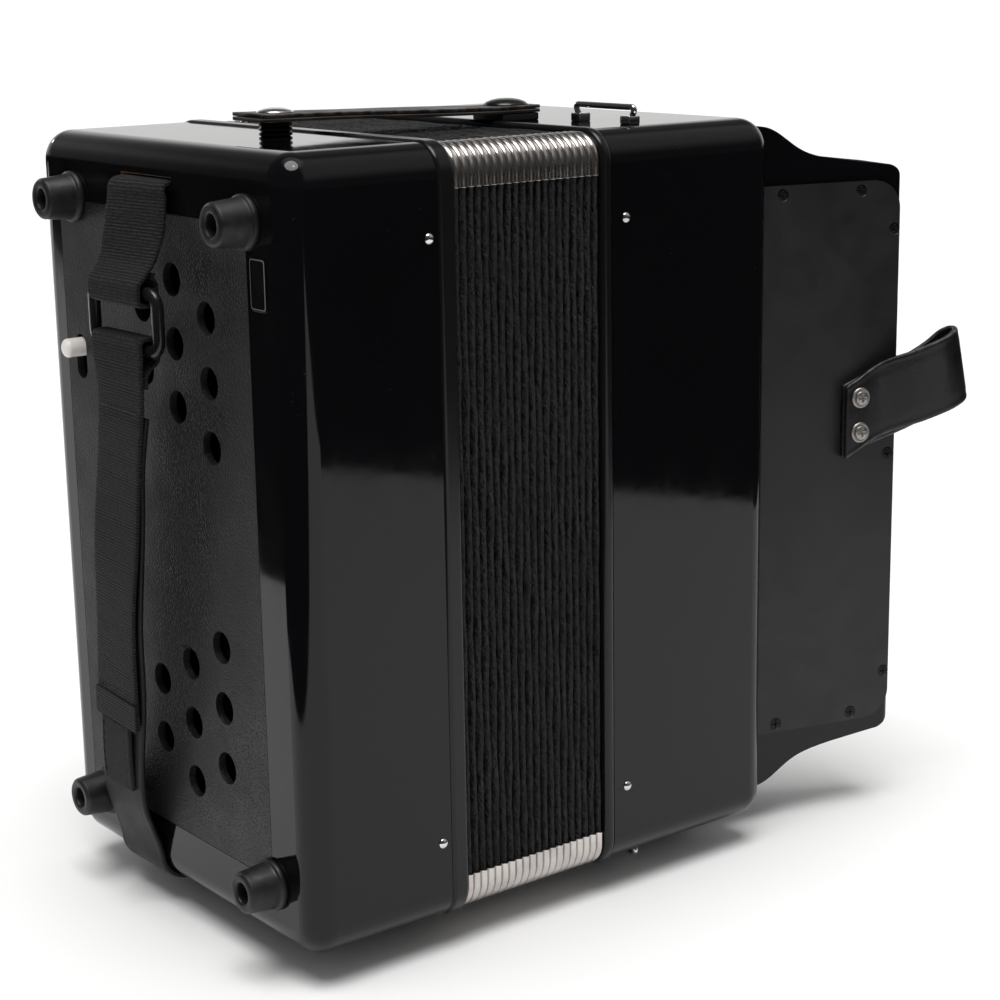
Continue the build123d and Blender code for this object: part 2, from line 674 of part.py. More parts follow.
thumb_strap = band(thumb_points, thumb_halves, THUMB_THICKNESS)
for w, z in THUMB_SCREWS:
    seat = board_plane(w, z, -THUMB_SEAT)
    cup = extrude(seat.offset(-1.1) * Circle(4.4), 1.1)
    cup = chamfer(cup.edges().filter_by(GeomType.CIRCLE).sort_by(Axis.Y)[0], 0.7)
    head = extrude(seat.offset(-2.3) * Circle(2.9), 1.2)
    shank = extrude(seat * Circle(1.5), 13)
    treble_fasteners.append(cup + head + shank)
    hole = extrude(seat.offset(-0.1) * Circle(1.62), 13.5)
    thumb_strap -= hole
    cover -= hole
    board -= hole
parts["fingerboard"] = board
parts["fingerboard_cover"] = cover
parts["thumb_strap"] = thumb_strap
parts["treble_fasteners"] = group(treble_fasteners)

# Buttons of the three treble rows and the two bass rows
for row, (s, count) in enumerate(BUTTON_ROWS, 1):
    for i in range(count):
        z = (i - (count - 1) / 2) * BUTTON_PITCH
        stem = extrude(
            front_plane(s, z, -FRONT_PLATE - COLLAR_GAP - COLLAR_THICKNESS) * Circle(BUTTON_RADIUS),
            FRONT_PLATE + COLLAR_GAP + COLLAR_THICKNESS + BUTTON_PROUD,
        )
        crown = stem.edges().filter_by(GeomType.CIRCLE).sort_by(Axis.Y)[-1]
        stem = fillet(crown, 1.5)
        collar = extrude(
            front_plane(s, z, -FRONT_PLATE - COLLAR_GAP - COLLAR_THICKNESS) * Circle(BUTTON_COLLAR),
            COLLAR_THICKNESS,
        )
        parts[f"treble_button_{row}_{i + 1:02d}"] = stem + collar
for number, places in enumerate(bass_buttons, 1):
    row = []
    for x, z in places:
        button = rod((x, floor_y - 7, z), (x, floor_y + 6, z), BASS_BUTTON_RADIUS)
        row.append(fillet(button.edges().sort_by(Axis.Y)[-1], 1.3))
    parts[f"bass_button_row_{number}"] = group(row)

# Bellows straps: studs on the bass casing, hinged straps, and anchored ends on the treble casing
y0, y1 = STRAP_MIDDLE_Y - STRAP_WIDTH / 2, STRAP_MIDDLE_Y + STRAP_WIDTH / 2
stud_outline = [(0, HALF_HEIGHT)]
stud_step = (STUD_TOP - HALF_HEIGHT) / STUD_RINGS
for i in range(STUD_RINGS):
    low = HALF_HEIGHT + i * stud_step
    stud_outline.append((STUD_RADIUS - STUD_GROOVE, low))
    stud_outline.append((STUD_RADIUS, low + 0.3 * stud_step))
    stud_outline.append((STUD_RADIUS, low + 0.7 * stud_step))
stud_outline.append((STUD_RADIUS - STUD_GROOVE, STUD_TOP))
stud_outline.append((0, STUD_TOP))
stud_face = make_face(Plane.XZ * Polyline(*stud_outline, close=True))
stud = Pos(STUD_X, STRAP_MIDDLE_Y, 0) * revolve(stud_face, Axis.Z)
parts["strap_studs"] = group([stud, mirrored(stud)])
hinge_low = STRAP_HINGE_Z - STRAP_THICKNESS / 2
side = [
    (STRAP_FREE_X, STRAP_FREE_BASE),
    (STRAP_HINGE_X, hinge_low),
    (STRAP_HINGE_X, hinge_low + STRAP_THICKNESS),
    (STRAP_FREE_X, STRAP_FREE_BASE + STRAP_THICKNESS),
]
strap = extrude(Plane.XZ.offset(-y1) * make_face(Polyline(*side, close=True)), STRAP_WIDTH)
strap += rod((STRAP_HINGE_X, y0, STRAP_HINGE_Z), (STRAP_HINGE_X, y1, STRAP_HINGE_Z), STRAP_THICKNESS / 2)
free_edges = strap.edges().filter_by(lambda e: abs(e.center().X - STRAP_FREE_X) < 0.01)
free_corners = free_edges.filter_by(lambda e: e.length < STRAP_WIDTH / 2)
strap = fillet(free_corners, STRAP_FREE_CORNER)
snap_z = STRAP_FREE_BASE + STRAP_THICKNESS - SNAP_SINK
snap = rod((STUD_X, STRAP_MIDDLE_Y, snap_z), (STUD_X, STRAP_MIDDLE_Y, snap_z + SNAP_HEIGHT), SNAP_RADIUS)
snap_crown = snap.edges().filter_by(GeomType.CIRCLE).sort_by(Axis.Z)[-1]
strap += fillet(snap_crown, SNAP_ROUNDING)
parts["top_strap"] = strap
parts["bottom_strap"] = mirrored(strap)
anchor = box(ANCHOR_START, ANCHOR_END, y0, y1, HALF_HEIGHT, ANCHOR_TOP)
cap_base = (ANCHOR_CAP_X, STRAP_MIDDLE_Y, ANCHOR_TOP)
cap_top = (ANCHOR_CAP_X, STRAP_MIDDLE_Y, ANCHOR_TOP + ANCHOR_CAP_HEIGHT)
cap = rod(cap_base, cap_top, ANCHOR_CAP_RADIUS)
cap_crown = cap.edges().filter_by(GeomType.CIRCLE).sort_by(Axis.Z)[-1]
anchor += fillet(cap_crown, ANCHOR_CAP_ROUNDING)
parts["strap_anchors"] = group([anchor, mirrored(anchor)])

# Shoulder strap brackets: a bent wire between two square feet
corners_of_wire = [
    (BRACKET_X, BRACKET_FOOT_Y[0], HALF_HEIGHT),
    (BRACKET_X, BRACKET_BAR_Y[0], BRACKET_BAR_Z),
    (BRACKET_X, BRACKET_BAR_Y[1], BRACKET_BAR_Z),
    (BRACKET_X, BRACKET_FOOT_Y[1], HALF_HEIGHT),
]
bracket = rod(corners_of_wire[0], corners_of_wire[1], BRACKET_WIRE)
for start, end in zip(corners_of_wire[1:], corners_of_wire[2:]):
    bracket += Pos(*start) * Sphere(BRACKET_WIRE)
    bracket += rod(start, end, BRACKET_WIRE)
for y in BRACKET_FOOT_Y:
    bracket += box(
        BRACKET_X - BRACKET_FOOT_HALF,
        BRACKET_X + BRACKET_FOOT_HALF,
        y - BRACKET_FOOT_HALF,
        y + BRACKET_FOOT_HALF,
        HALF_HEIGHT,
        HALF_HEIGHT + BRACKET_FOOT_HEIGHT,
    )
bracket &= box(150, 190, 0, 70, HALF_HEIGHT, 160)
parts["shoulder_brackets"] = group([bracket, mirrored(bracket)])

# Move everything so that the origin is at the bottom centre of the whole object
whole = Compound(children=[solid for shape in parts.values() for solid in shape.solids()]).bounding_box()
to_origin = Location((-whole.center().X, -whole.center().Y, -whole.min.Z))
os.makedirs("parts", exist_ok=True)
for name, shape in parts.items():
    export_step(shape.moved(to_origin), os.path.join("parts", f"{name}.step"))
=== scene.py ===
"""The looks of a three-row button accordion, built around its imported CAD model.

Positions are given in millimetres in the modelling frame of the part: X from the bass end face, Y from
the player's face and Z from mid height. at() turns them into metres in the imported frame.
"""

import math

import bpy
from mathutils import Matrix, Vector


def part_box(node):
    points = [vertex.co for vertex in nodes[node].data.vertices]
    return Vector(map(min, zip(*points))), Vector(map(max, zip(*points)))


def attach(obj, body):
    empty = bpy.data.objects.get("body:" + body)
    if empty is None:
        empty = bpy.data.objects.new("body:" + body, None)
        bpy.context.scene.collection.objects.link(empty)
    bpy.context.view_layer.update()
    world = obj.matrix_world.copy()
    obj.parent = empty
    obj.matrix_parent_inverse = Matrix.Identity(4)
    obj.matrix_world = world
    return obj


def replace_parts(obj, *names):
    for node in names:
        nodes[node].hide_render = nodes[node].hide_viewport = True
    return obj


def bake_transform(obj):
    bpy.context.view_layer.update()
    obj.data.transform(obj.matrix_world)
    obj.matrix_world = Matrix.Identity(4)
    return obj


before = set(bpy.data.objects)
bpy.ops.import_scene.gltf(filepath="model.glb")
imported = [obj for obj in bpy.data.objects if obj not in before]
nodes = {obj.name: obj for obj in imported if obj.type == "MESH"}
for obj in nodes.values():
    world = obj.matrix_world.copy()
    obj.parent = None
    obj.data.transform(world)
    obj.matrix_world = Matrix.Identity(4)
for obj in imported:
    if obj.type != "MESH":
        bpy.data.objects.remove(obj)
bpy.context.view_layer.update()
body_low, body_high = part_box("bass_casing")
ORIGIN = Vector((body_low.x, body_low.y, (body_low.z + body_high.z) / 2))
MM = 0.001


def at(x, y, z):
    """A point of the modelling frame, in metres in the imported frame."""
    return ORIGIN + Vector((x, y, z)) * MM


# Dimensions shared with the part, in millimetres
HALF_HEIGHT = 145.0
DEPTH = 180.0
BELLOWS_START = 69.8
BELLOWS_END = 137.6
PLEATS = 20
BELLOWS_INSET = 1.2
BELLOWS_CORNER = 10.0
FOLD_DEPTH = 17.0
CORNER_PROUD = 0.35
CORNER_REACH = 16.0
PIN_Z = 112.5
BASS_PIN_X = 58.2
TREBLE_PIN_X = 149.2
END_FOOT_Y = (26.3, 151.0)
END_FOOT_Z = 121.0
BASE_FOOT_Y = (40.0, 140.0)
BASS_BASE_FOOT_X = 38.0
TREBLE_BASE_FOOT_X = 205.0
BASE_FOOT_HEIGHT = 12.0
WEBBING_WIDTH = 35.0
TAB_WIDTH = 24.0
WEBBING_THICKNESS = 1.8
STRAP_COURSE = (
    (135.0, 94.0, 2.0), (124.0, 92.5, 4.0), (113.0, 91.5, 4.6), (104.0, 91.6, 3.0), (97.0, 92.0, 1.4),
    (86.0, 92.2, 1.4), (78.0, 92.4, 0.8), (69.0, 92.6, 0.8), (60.0, 93.2, -0.6), (46.0, 94.8, -1.6),
    (24.0, 99.5, -1.7), (1.0, 103.8, -1.1), (-22.0, 107.5, -2.6), (-40.0, 109.3, -3.8),
    (-66.0, 111.0, -2.2), (-78.0, 112.0, -2.0),
)
RING_MIDDLE = (-12.6, 91.0, 82.0)
RING_HALF_WIDTH = 24.5
RING_HALF_HEIGHT = 13.0
RING_TURN = math.radians(2.3)
LEATHER_THICKNESS = 2.4
LEATHER_GAP = 0.25
LEATHER_END_X = 24.0
RIM_RADIUS = 10.0
TOP_SLOT = (75.4, 113.0, 128.6, 133.0)
SLOT_DEPTH = 8.0
BADGE = (14.0, 24.3, 91.0, 109.5)
STRAP_Y = 75.0
STRAP_WIDTH = 20.0
STRAP_FREE_X = 32.5
STRAP_FREE_BASE = 150.9
STRAP_HINGE_X = 141.0
STRAP_HINGE_Z = 149.5
STRAP_THICKNESS = 3.0
STUD_X = 44.5
ANCHOR_START = 142.9
ANCHOR_END = 161.3
ANCHOR_TOP = 151.0
ANCHOR_CAP_X = 151.9
BRACKET_X = 167.5
BRACKET_FOOT_Y = (18.5, 47.5)
BRACKET_BAR_Y = (15.5, 50.5)
BRACKET_BAR_Z = 151.4
BRACKET_WIRE = 1.2
BRACKET_FOOT_HALF = 2.8
BRACKET_FOOT_HEIGHT = 3.2
BOARD_ORIGIN = (230.0, 18.0)
BOARD_LEAN = math.radians(15.65)
BOARD_END_W = 73.5
BOARD_END_THICKNESS = 24.0
FRONT_ROOT = (227.0, 62.0)
COVER_SCREWS = (
    (16.0, 112.5), (52.8, 112.5), (69.0, 96.0), (68.2, 1.0), (69.0, -96.0), (52.8, -112.5),
    (16.0, -112.5),
)
THUMB_SCREWS = ((51.2, 27.2), (51.2, 12.5))
THUMB_WIDTH = 31.0
THUMB_THICKNESS = 2.4
THUMB_PATH = (
    (44.9, 4.1, 17.0, 0.0), (50.0, 4.1, 19.5, 0.0), (56.0, 4.1, 23.0, 1.0), (62.0, 4.9, 26.0, 3.0),
    (68.0, 7.6, 28.5, 5.0), (75.0, 11.2, 31.0, 7.0), (82.0, 14.2, 34.0, 9.0), (87.0, 15.5, 36.2, 10.0),
    (91.5, 15.0, 38.2, 11.0), (94.5, 12.6, 39.3, 11.0), (95.4, 9.9, 39.6, 11.0),
    (94.4, 7.2, 39.3, 11.0), (91.3, 5.3, 37.4, 11.0), (86.5, 4.0, 33.5, 10.0), (81.0, 2.8, 30.0, 9.0),
    (75.0, 1.9, 27.2, 7.0), (68.0, 1.5, 24.8, 5.0), (62.0, 1.4, 23.0, 3.0), (56.0, 1.4, 21.2, 1.0),
    (50.0, 1.4, 19.0, 0.0), (44.9, 1.4, 17.0, 0.0),
)
BUTTON_ROWS = ((20.0, 10), (40.0, 11), (60.0, 10))
BUTTON_PITCH = 19.0
BUTTON_RADIUS = 6.2
BUTTON_PROUD = 6.0
BASS_ROWS_X = (33.0, 48.0)
BASS_BUTTONS = 6
BASS_PITCH = 20.0
BASS_BUTTON_RADIUS = 5.2
BASS_WELL_DEPTH = 14.0
AIR_SLOT_Y = 152.0
AIR_PIN_Z = 62.6
AIR_PIN_TIP = -7.5
AIR_PIN_RADIUS = 3.7


def board_point(w, inwards, z):
    """A point at W along the fingerboard's rear plane, inwards millimetres into it."""
    along = (math.cos(BOARD_LEAN), -math.sin(BOARD_LEAN))
    deep = (math.sin(BOARD_LEAN), math.cos(BOARD_LEAN))
    return Vector((
        BOARD_ORIGIN[0] + along[0] * w + deep[0] * inwards,
        BOARD_ORIGIN[1] + along[1] * w + deep[1] * inwards,
        z,
    ))


BOARD_OUT = Vector((-math.sin(BOARD_LEAN), -math.cos(BOARD_LEAN), 0.0))
BOARD_ALONG = Vector((math.cos(BOARD_LEAN), -math.sin(BOARD_LEAN), 0.0))


# Mesh making


def mesh_object(name, points, faces, material, uvs=None, smooth=True):
    """A mesh object from points in the modelling frame."""
    mesh = bpy.data.meshes.new(name)
    mesh.from_pydata([at(*p) for p in points], [], faces)
    if uvs is not None:
        layer = mesh.uv_layers.new(name="along")
        for loop in mesh.loops:
            layer.data[loop.index].uv = uvs[loop.vertex_index]
    for polygon in mesh.polygons:
        polygon.use_smooth = smooth
    mesh.materials.append(material)
    mesh.validate()
    mesh.update()
    piece = bpy.data.objects.new(name, mesh)
    bpy.context.scene.collection.objects.link(piece)
    return piece


def ring_faces(first, second, count):
    """Quads between two rings of count points each, given where their points start."""
    return [
        (first + i, first + (i + 1) % count, second + (i + 1) % count, second + i) for i in range(count)
    ]


def side_faces(rings, count):
    """Quads between each ring of count points and the next."""
    faces = []
    for i in range(rings - 1):
        faces += ring_faces(i * count, (i + 1) * count, count)
    return faces


def tube_faces(rings, count):
    """The sides of a tube of rings of count points each, and its two ends."""
    last = (rings - 1) * count
    ends = [tuple(reversed(range(count))), tuple(range(last, last + count))]
    return side_faces(rings, count) + ends


def frame_along(axis):
    """Two directions square to an axis and to each other."""
    axis = Vector(axis).normalized()
    helper = Vector((0, 0, 1)) if abs(axis.z) < 0.9 else Vector((1, 0, 0))
    side = axis.cross(helper).normalized()
    return axis, side, axis.cross(side)


def circle(centre, side, other, radius, count):
    """Points round a circle in the plane of two directions."""
    points = []
    for i in range(count):
        angle = math.tau * i / count
        points.append(centre + (side * math.cos(angle) + other * math.sin(angle)) * radius)
    return points


def corner_arcs(y0, y1, z0, z1, radius, steps):
    """The rounded corners of a rectangle, as four arcs of (y, z) points."""
    centres = (
        (y1 - radius, z1 - radius), (y0 + radius, z1 - radius),
        (y0 + radius, z0 + radius), (y1 - radius, z0 + radius),
    )
    arcs = []
    for quarter, (y, z) in enumerate(centres):
        angles = [math.radians(90.0 * quarter + 90.0 * i / steps) for i in range(steps + 1)]
        arcs.append([(y + radius * math.cos(angle), z + radius * math.sin(angle)) for angle in angles])
    return arcs


def lathe_points(base, axis, profile, segments=40):
    """Points and faces of a closed profile of (radius, height) turned about an axis from base."""
    base = Vector(base)
    axis, side, other = frame_along(axis)
    points, faces, rings = [], [], []
    for radius, height in profile:
        start = len(points)
        if radius < 1e-6:
            points.append(base + axis * height)
            rings.append((start, 1))
            continue
        points += circle(base + axis * height, side, other, radius, segments)
        rings.append((start, segments))
    for (a, count_a), (b, count_b) in zip(rings, rings[1:]):
        if count_a == 1 and count_b > 1:
            faces += [(a, b + (i + 1) % count_b, b + i) for i in range(count_b)]
        elif count_b == 1 and count_a > 1:
            faces += [(a + i, a + (i + 1) % count_a, b) for i in range(count_a)]
        elif count_a > 1:
            faces += ring_faces(a, b, count_a)
    return points, faces


def rounded(profile, radius, steps=3):
    """A profile with its corners rounded by short arcs, its two ends kept."""
    result = [profile[0]]
    for before, corner, after in zip(profile, profile[1:], profile[2:]):
        before, corner, after = Vector(before), Vector(corner), Vector(after)
        reach = min(radius, (before - corner).length * 0.45, (after - corner).length * 0.45)
        start = corner + (before - corner).normalized() * reach
        end = corner + (after - corner).normalized() * reach
        for i in range(steps + 1):
            t = i / steps
            result.append(tuple(start * (1 - t) ** 2 + corner * 2 * t * (1 - t) + end * t * t))
    result.append(profile[-1])
    return result


def merge(pieces):
    """One list of points and one of faces from several."""
    points, faces = [], []
    for more_points, more_faces in pieces:
        offset = len(points)
        points += more_points
        faces += [tuple(i + offset for i in face) for face in more_faces]
    return points, faces


def turned(name, places, profile, material, segments=40):
    """Turned parts of one profile, at each (base, axis)."""
    return mesh_object(
        name, *merge([lathe_points(base, axis, profile, segments) for base, axis in places]), material
    )


def curve_steps(points, step):
    """Places about step apart along a smooth curve through points, as (span, share of the span)."""
    steps = []
    for i, (a, b) in enumerate(zip(points, points[1:])):
        count = max(1, round((b - a).length / step))
        steps += [(i, k / count) for k in range(count)]
    return [*steps, (len(points) - 2, 1.0)]


def on_curve(values, span, t):
    """The smooth curve through values, at a share of a span."""
    p1, p2 = values[span], values[span + 1]
    p0 = values[span - 1] if span else p1 * 2 - p2
    p3 = values[span + 2] if span + 2 < len(values) else p2 * 2 - p1
    return (
        p1 * 2
        + (p2 - p0) * t
        + (p0 * 2 - p1 * 5 + p2 * 4 - p3) * t * t
        + (p1 * 3 - p0 - p2 * 3 + p3) * t * t * t
    ) * 0.5


STRAP_STATIONS = [-1.0, -0.995, -0.975, -0.94, -0.9, -0.86, -0.82, -0.7, -0.5, -0.3, -0.1]
STRAP_STATIONS += [-u for u in reversed(STRAP_STATIONS)]
GROOVE_INSET = 2.6
GROOVE_WIDTH = 0.55


def strap(
    name, path, half_widths, thickness, material, *, ribs=0.0, rib_pitch=1.4, groove=0.0, warp=0.0,
    step=1.0, edge_round=0.2,
):
    """A flat strap along a path, with the vector from its middle to one edge given at each point. It has
    rounded edges and, where they are asked for, crosswise ribs, a groove inside each edge and a gentle
    warp."""
    path = [Vector(p) for p in path]
    half_widths = [Vector(h) for h in half_widths]
    steps = curve_steps(path, step)
    line = [on_curve(path, *place) for place in steps]
    halves = [on_curve(half_widths, *place) for place in steps]
    points, uvs = [], []
    run = 0.0
    for i, (centre, half_vector) in enumerate(zip(line, halves)):
        before, after = line[max(i - 1, 0)], line[min(i + 1, len(line) - 1)]
        half = half_vector.length
        lateral = half_vector / half
        tangent = after - before
        tangent = (tangent - lateral * tangent.dot(lateral)).normalized()
        normal = tangent.cross(lateral)
        run += (centre - line[i - 1]).length if i else 0.0
        for side in (1, -1):
            for u in STRAP_STATIONS if side > 0 else reversed(STRAP_STATIONS):
                edge = (1 - abs(u) ** 14) ** edge_round
                inside = (1 - abs(u)) * half
                phase = run + 0.25 * math.sin(u * 7.0 + run * 0.9) + 0.12 * math.sin(u * 23.0 + run * 2.1)
                lift = side * (thickness / 2) * edge
                lift -= side * groove * math.exp(-(((inside - GROOVE_INSET) / GROOVE_WIDTH) ** 2))
                lift += side * ribs * math.cos(math.tau * phase / rib_pitch) * edge
                lift += warp * math.sin(run * 0.085 + 1.3) * u + warp * 0.6 * math.sin(run * 0.05) * u * u
                points.append(centre + lateral * (u * half) + normal * lift)
                uvs.append((run * MM, u * half * MM))
    return mesh_object(name, points, tube_faces(len(line), 2 * len(STRAP_STATIONS)), material, uvs)


def box_mesh(low, high):
    """The points and faces of a box between two corners."""
    corners = [
        (x, y, z) for x in (low[0], high[0]) for y in (low[1], high[1]) for z in (low[2], high[2])
    ]
    return corners, [(0, 1, 3, 2), (4, 6, 7, 5), (0, 4, 5, 1), (2, 3, 7, 6), (0, 2, 6, 4), (1, 5, 7, 3)]


def bevelled_box(name, low, high, bevel, material):
    """A box between two corners with rounded edges."""
    piece = mesh_object(name, *box_mesh(low, high), material)
    modifier = piece.modifiers.new("rounding", "BEVEL")
    modifier.width = bevel * MM
    modifier.segments = 3
    modifier.limit_method = "NONE"
    return piece


def wire(name, line, radius, material, segments=16):
    """A round wire along points."""
    points = []
    side = None
    for i, centre in enumerate(line):
        before, after = line[max(i - 1, 0)], line[min(i + 1, len(line) - 1)]
        tangent = (after - before).normalized()
        if side is None:
            side = frame_along(tangent)[1]
        side = (side - tangent * side.dot(tangent)).normalized()
        points += circle(centre, side, tangent.cross(side), radius, segments)
    return mesh_object(name, points, tube_faces(len(line), segments), material)


# Materials


def add_node(tree, kind, **inputs):
    """A node with its sockets, by name, set to values or linked to other sockets."""
    node = tree.nodes.new(kind)
    for socket, value in inputs.items():
        target = node.inputs[socket.replace("_", " ")]
        if isinstance(value, bpy.types.NodeSocket):
            tree.links.new(value, target)
        else:
            target.default_value = value
    return node


def maths(tree, operation, a, b):
    """The result of a maths node with two numbers or sockets."""
    node = tree.nodes.new("ShaderNodeMath")
    node.operation = operation
    for i, value in enumerate((a, b)):
        if isinstance(value, (int, float)):
            node.inputs[i].default_value = value
        else:
            tree.links.new(value, node.inputs[i])
    return node.outputs["Value"]


class Finish:
    """A node material that is built up from a Principled shader."""

    def __init__(self, name, roughness, metallic=0.0, coords="Object", **settings):
        self.material = bpy.data.materials.new(name)
        self.material.use_nodes = True
        self.tree = self.material.node_tree
        self.shader = self.tree.nodes["Principled BSDF"]
        self.shader.inputs["Roughness"].default_value = roughness
        self.shader.inputs["Metallic"].default_value = metallic
        for socket, value in settings.items():
            self.shader.inputs[socket.replace("_", " ")].default_value = value
        self.coords = self.tree.nodes.new("ShaderNodeTexCoord").outputs[coords]
        self.bumped = None

    def link(self, output, socket):
        self.tree.links.new(output, socket)

    def node(self, kind, **inputs):
        return add_node(self.tree, kind, **inputs)

    def noise(self, scale, detail=3.0, stretch=None, roughness=0.5):
        """A noise, over coordinates that can be stretched along each axis."""
        coords = self.coords
        if stretch:
            coords = self.node("ShaderNodeMapping", Vector=coords, Scale=stretch).outputs["Vector"]
        return self.node(
            "ShaderNodeTexNoise", Vector=coords, Scale=scale, Detail=detail, Roughness=roughness
        ).outputs["Fac"]

    def cells(self, scale):
        return self.node("ShaderNodeTexVoronoi", Vector=self.coords, Scale=scale).outputs["Distance"]

    def wave(self, scale, distortion):
        """Bands along X, about scale times 3.2 of them to a metre, bent by a noise."""
        node = self.node(
            "ShaderNodeTexWave", Vector=self.coords, Scale=scale, Distortion=distortion, Detail=2.0,
            Detail_Scale=0.6,
        )
        node.bands_direction = "X"
        return node.outputs["Fac"]

    def remap(self, value, low, high, to_low=0.0, to_high=1.0):
        """A value, from one range to another, held at its ends."""
        return self.node(
            "ShaderNodeMapRange", Value=value, From_Min=low, From_Max=high, To_Min=to_low, To_Max=to_high
        ).outputs["Result"]

    def maths(self, operation, a, b):
        return maths(self.tree, operation, a, b)

    def colour(self, share, first, second):
        """A colour between two, each a tuple or a socket, by a share from 0 to 1."""
        node = self.tree.nodes.new("ShaderNodeMix")
        node.data_type = "RGBA"
        self.link(share, node.inputs[0])
        for socket, value in ((node.inputs[6], first), (node.inputs[7], second)):
            if isinstance(value, tuple):
                socket.default_value = (*value, 1)
            else:
                self.link(value, socket)
        return node.outputs[2]

    def base(self, output):
        self.link(output, self.shader.inputs["Base Color"])

    def rough(self, output):
        self.link(output, self.shader.inputs["Roughness"])

    def bump(self, height, strength, distance):
        below = {} if self.bumped is None else {"Normal": self.bumped}
        node = self.node("ShaderNodeBump", Height=height, Strength=strength, Distance=distance, **below)
        self.bumped = node.outputs["Normal"]
        self.link(self.bumped, self.shader.inputs["Normal"])


def lacquer(name, low, high, roughness, ripple):
    """Polished black lacquer with a faint ripple, a little dust and soft scuffs."""
    finish = Finish(name, roughness, IOR=1.375)
    shade = finish.colour(finish.noise(9.0, 4.0), low, high)
    dust = finish.remap(finish.noise(900.0, 2.0), 0.74, 0.8, 0.0, 0.35)
    finish.base(finish.colour(dust, shade, (0.12, 0.11, 0.1)))
    scuff = finish.remap(finish.noise(38.0, 6.0, roughness=0.7), 0.45, 0.75, roughness, roughness + 0.07)
    finish.rough(scuff)
    finish.bump(finish.noise(60.0, 2.0), ripple, 0.0004)
    return finish.material


def leather(name, low, high, roughness, grain, depth, edge=None, coords="Object"):
    """Leather with a cell grain, darker pores and rubbed high spots."""
    finish = Finish(name, roughness, coords=coords, IOR=1.38)
    cells = finish.cells(grain)
    blotch = finish.noise(55.0, 5.0)
    shade = finish.colour(finish.remap(blotch, 0.3, 0.7), low, high)
    pores = finish.remap(cells, 0.0, 0.25, 0.5, 0.0)
    shade = finish.colour(pores, shade, tuple(c * 0.4 for c in low))
    if edge is not None:
        across = finish.node("ShaderNodeSeparateXYZ", Vector=finish.coords)
        away = finish.maths("ABSOLUTE", across.outputs["Y"], 0.0)
        rubbed = finish.remap(finish.noise(260.0, 4.0), 0.35, 0.65, 0.1, 0.9)
        near = finish.remap(away, edge - 0.0012, edge - 0.0002)
        worn = finish.maths("MULTIPLY", near, rubbed)
        shade = finish.colour(worn, shade, tuple(c * 6 + 0.02 for c in high))
    finish.base(shade)
    finish.rough(finish.remap(blotch, 0.3, 0.7, roughness - 0.08, roughness + 0.1))
    finish.bump(finish.remap(cells, 0.0, 0.5), depth, 0.00025)
    finish.bump(finish.noise(120.0, 4.0), 0.25, 0.0006)
    return finish.material


def metal(name, colour, roughness, dull=0.12, scratched=0.06):
    """Plated metal with fine scratches and a few dull patches."""
    finish = Finish(name, roughness, metallic=1.0)
    patches = finish.noise(70.0, 5.0, roughness=0.65)
    patchy = finish.remap(patches, 0.4, 0.7)
    finish.base(finish.colour(patchy, colour, tuple(c * 0.72 for c in colour)))
    scratches = finish.noise(500.0, 3.0, stretch=(1.0, 1.0, 0.08))
    fine = finish.remap(scratches, 0.4, 0.7, 0.0, dull * 0.5)
    finish.rough(finish.maths("ADD", fine, finish.remap(patches, 0.4, 0.7, roughness, roughness + dull)))
    finish.bump(scratches, scratched, 0.0001)
    return finish.material


def rubber(name, low, high):
    """Moulded rubber with a fine pitted skin and pale dust in it."""
    finish = Finish(name, 0.5, IOR=1.45)
    finish.base(finish.colour(finish.remap(finish.noise(240.0, 5.0), 0.35, 0.75), low, high))
    finish.rough(finish.remap(finish.noise(150.0, 3.0), 0.3, 0.7, 0.36, 0.6))
    finish.bump(finish.noise(1400.0, 2.0), 0.35, 0.00015)
    return finish.material


def moulded(name, low, high, roughness, speckle, depth):
    """Moulded or sprayed plastic with a fine satin texture."""
    finish = Finish(name, roughness, IOR=1.43)
    finish.base(finish.colour(finish.remap(finish.noise(30.0, 5.0), 0.3, 0.7), low, high))
    finish.rough(finish.remap(finish.noise(80.0, 4.0), 0.3, 0.7, roughness - 0.06, roughness + 0.1))
    finish.bump(finish.noise(speckle, 2.0), depth, 0.0001)
    return finish.material


def webbing(name, low, high, pitch):
    """Woven tape: uneven ribs across it, broken by the threads along it, and a few pale fibres. Its
    colour is darker in the grooves between the ribs, as painted shade.
    """
    finish = Finish(name, 0.8, coords="UV", IOR=1.35)
    finish.shader.inputs["Sheen Weight"].default_value = 0.04
    finish.shader.inputs["Sheen Roughness"].default_value = 0.5
    ribs = finish.wave(1 / pitch / 3.2, 2.2)
    broken = finish.noise(1.0, 2.0, stretch=(1 / pitch, 420.0, 1.0))
    threads = finish.noise(1.0, 2.0, stretch=(1400.0, 4200.0, 1.0))
    height = finish.maths("MULTIPLY", ribs, finish.remap(broken, 0.35, 0.6, 0.25, 1.0))
    height = finish.maths("MULTIPLY", height, finish.remap(threads, 0.2, 0.8, 0.5, 1.0))
    # Colour follows the ribs' height: painted shade darkens the grooves, and the crests are lighter.
    shade = finish.colour(height, low, high)
    lint = finish.remap(finish.noise(1500.0, 2.0), 0.74, 0.8, 0.0, 0.5)
    finish.base(finish.colour(lint, shade, (0.1, 0.095, 0.09)))
    finish.bump(height, 1.0, 0.0004)
    return finish.material


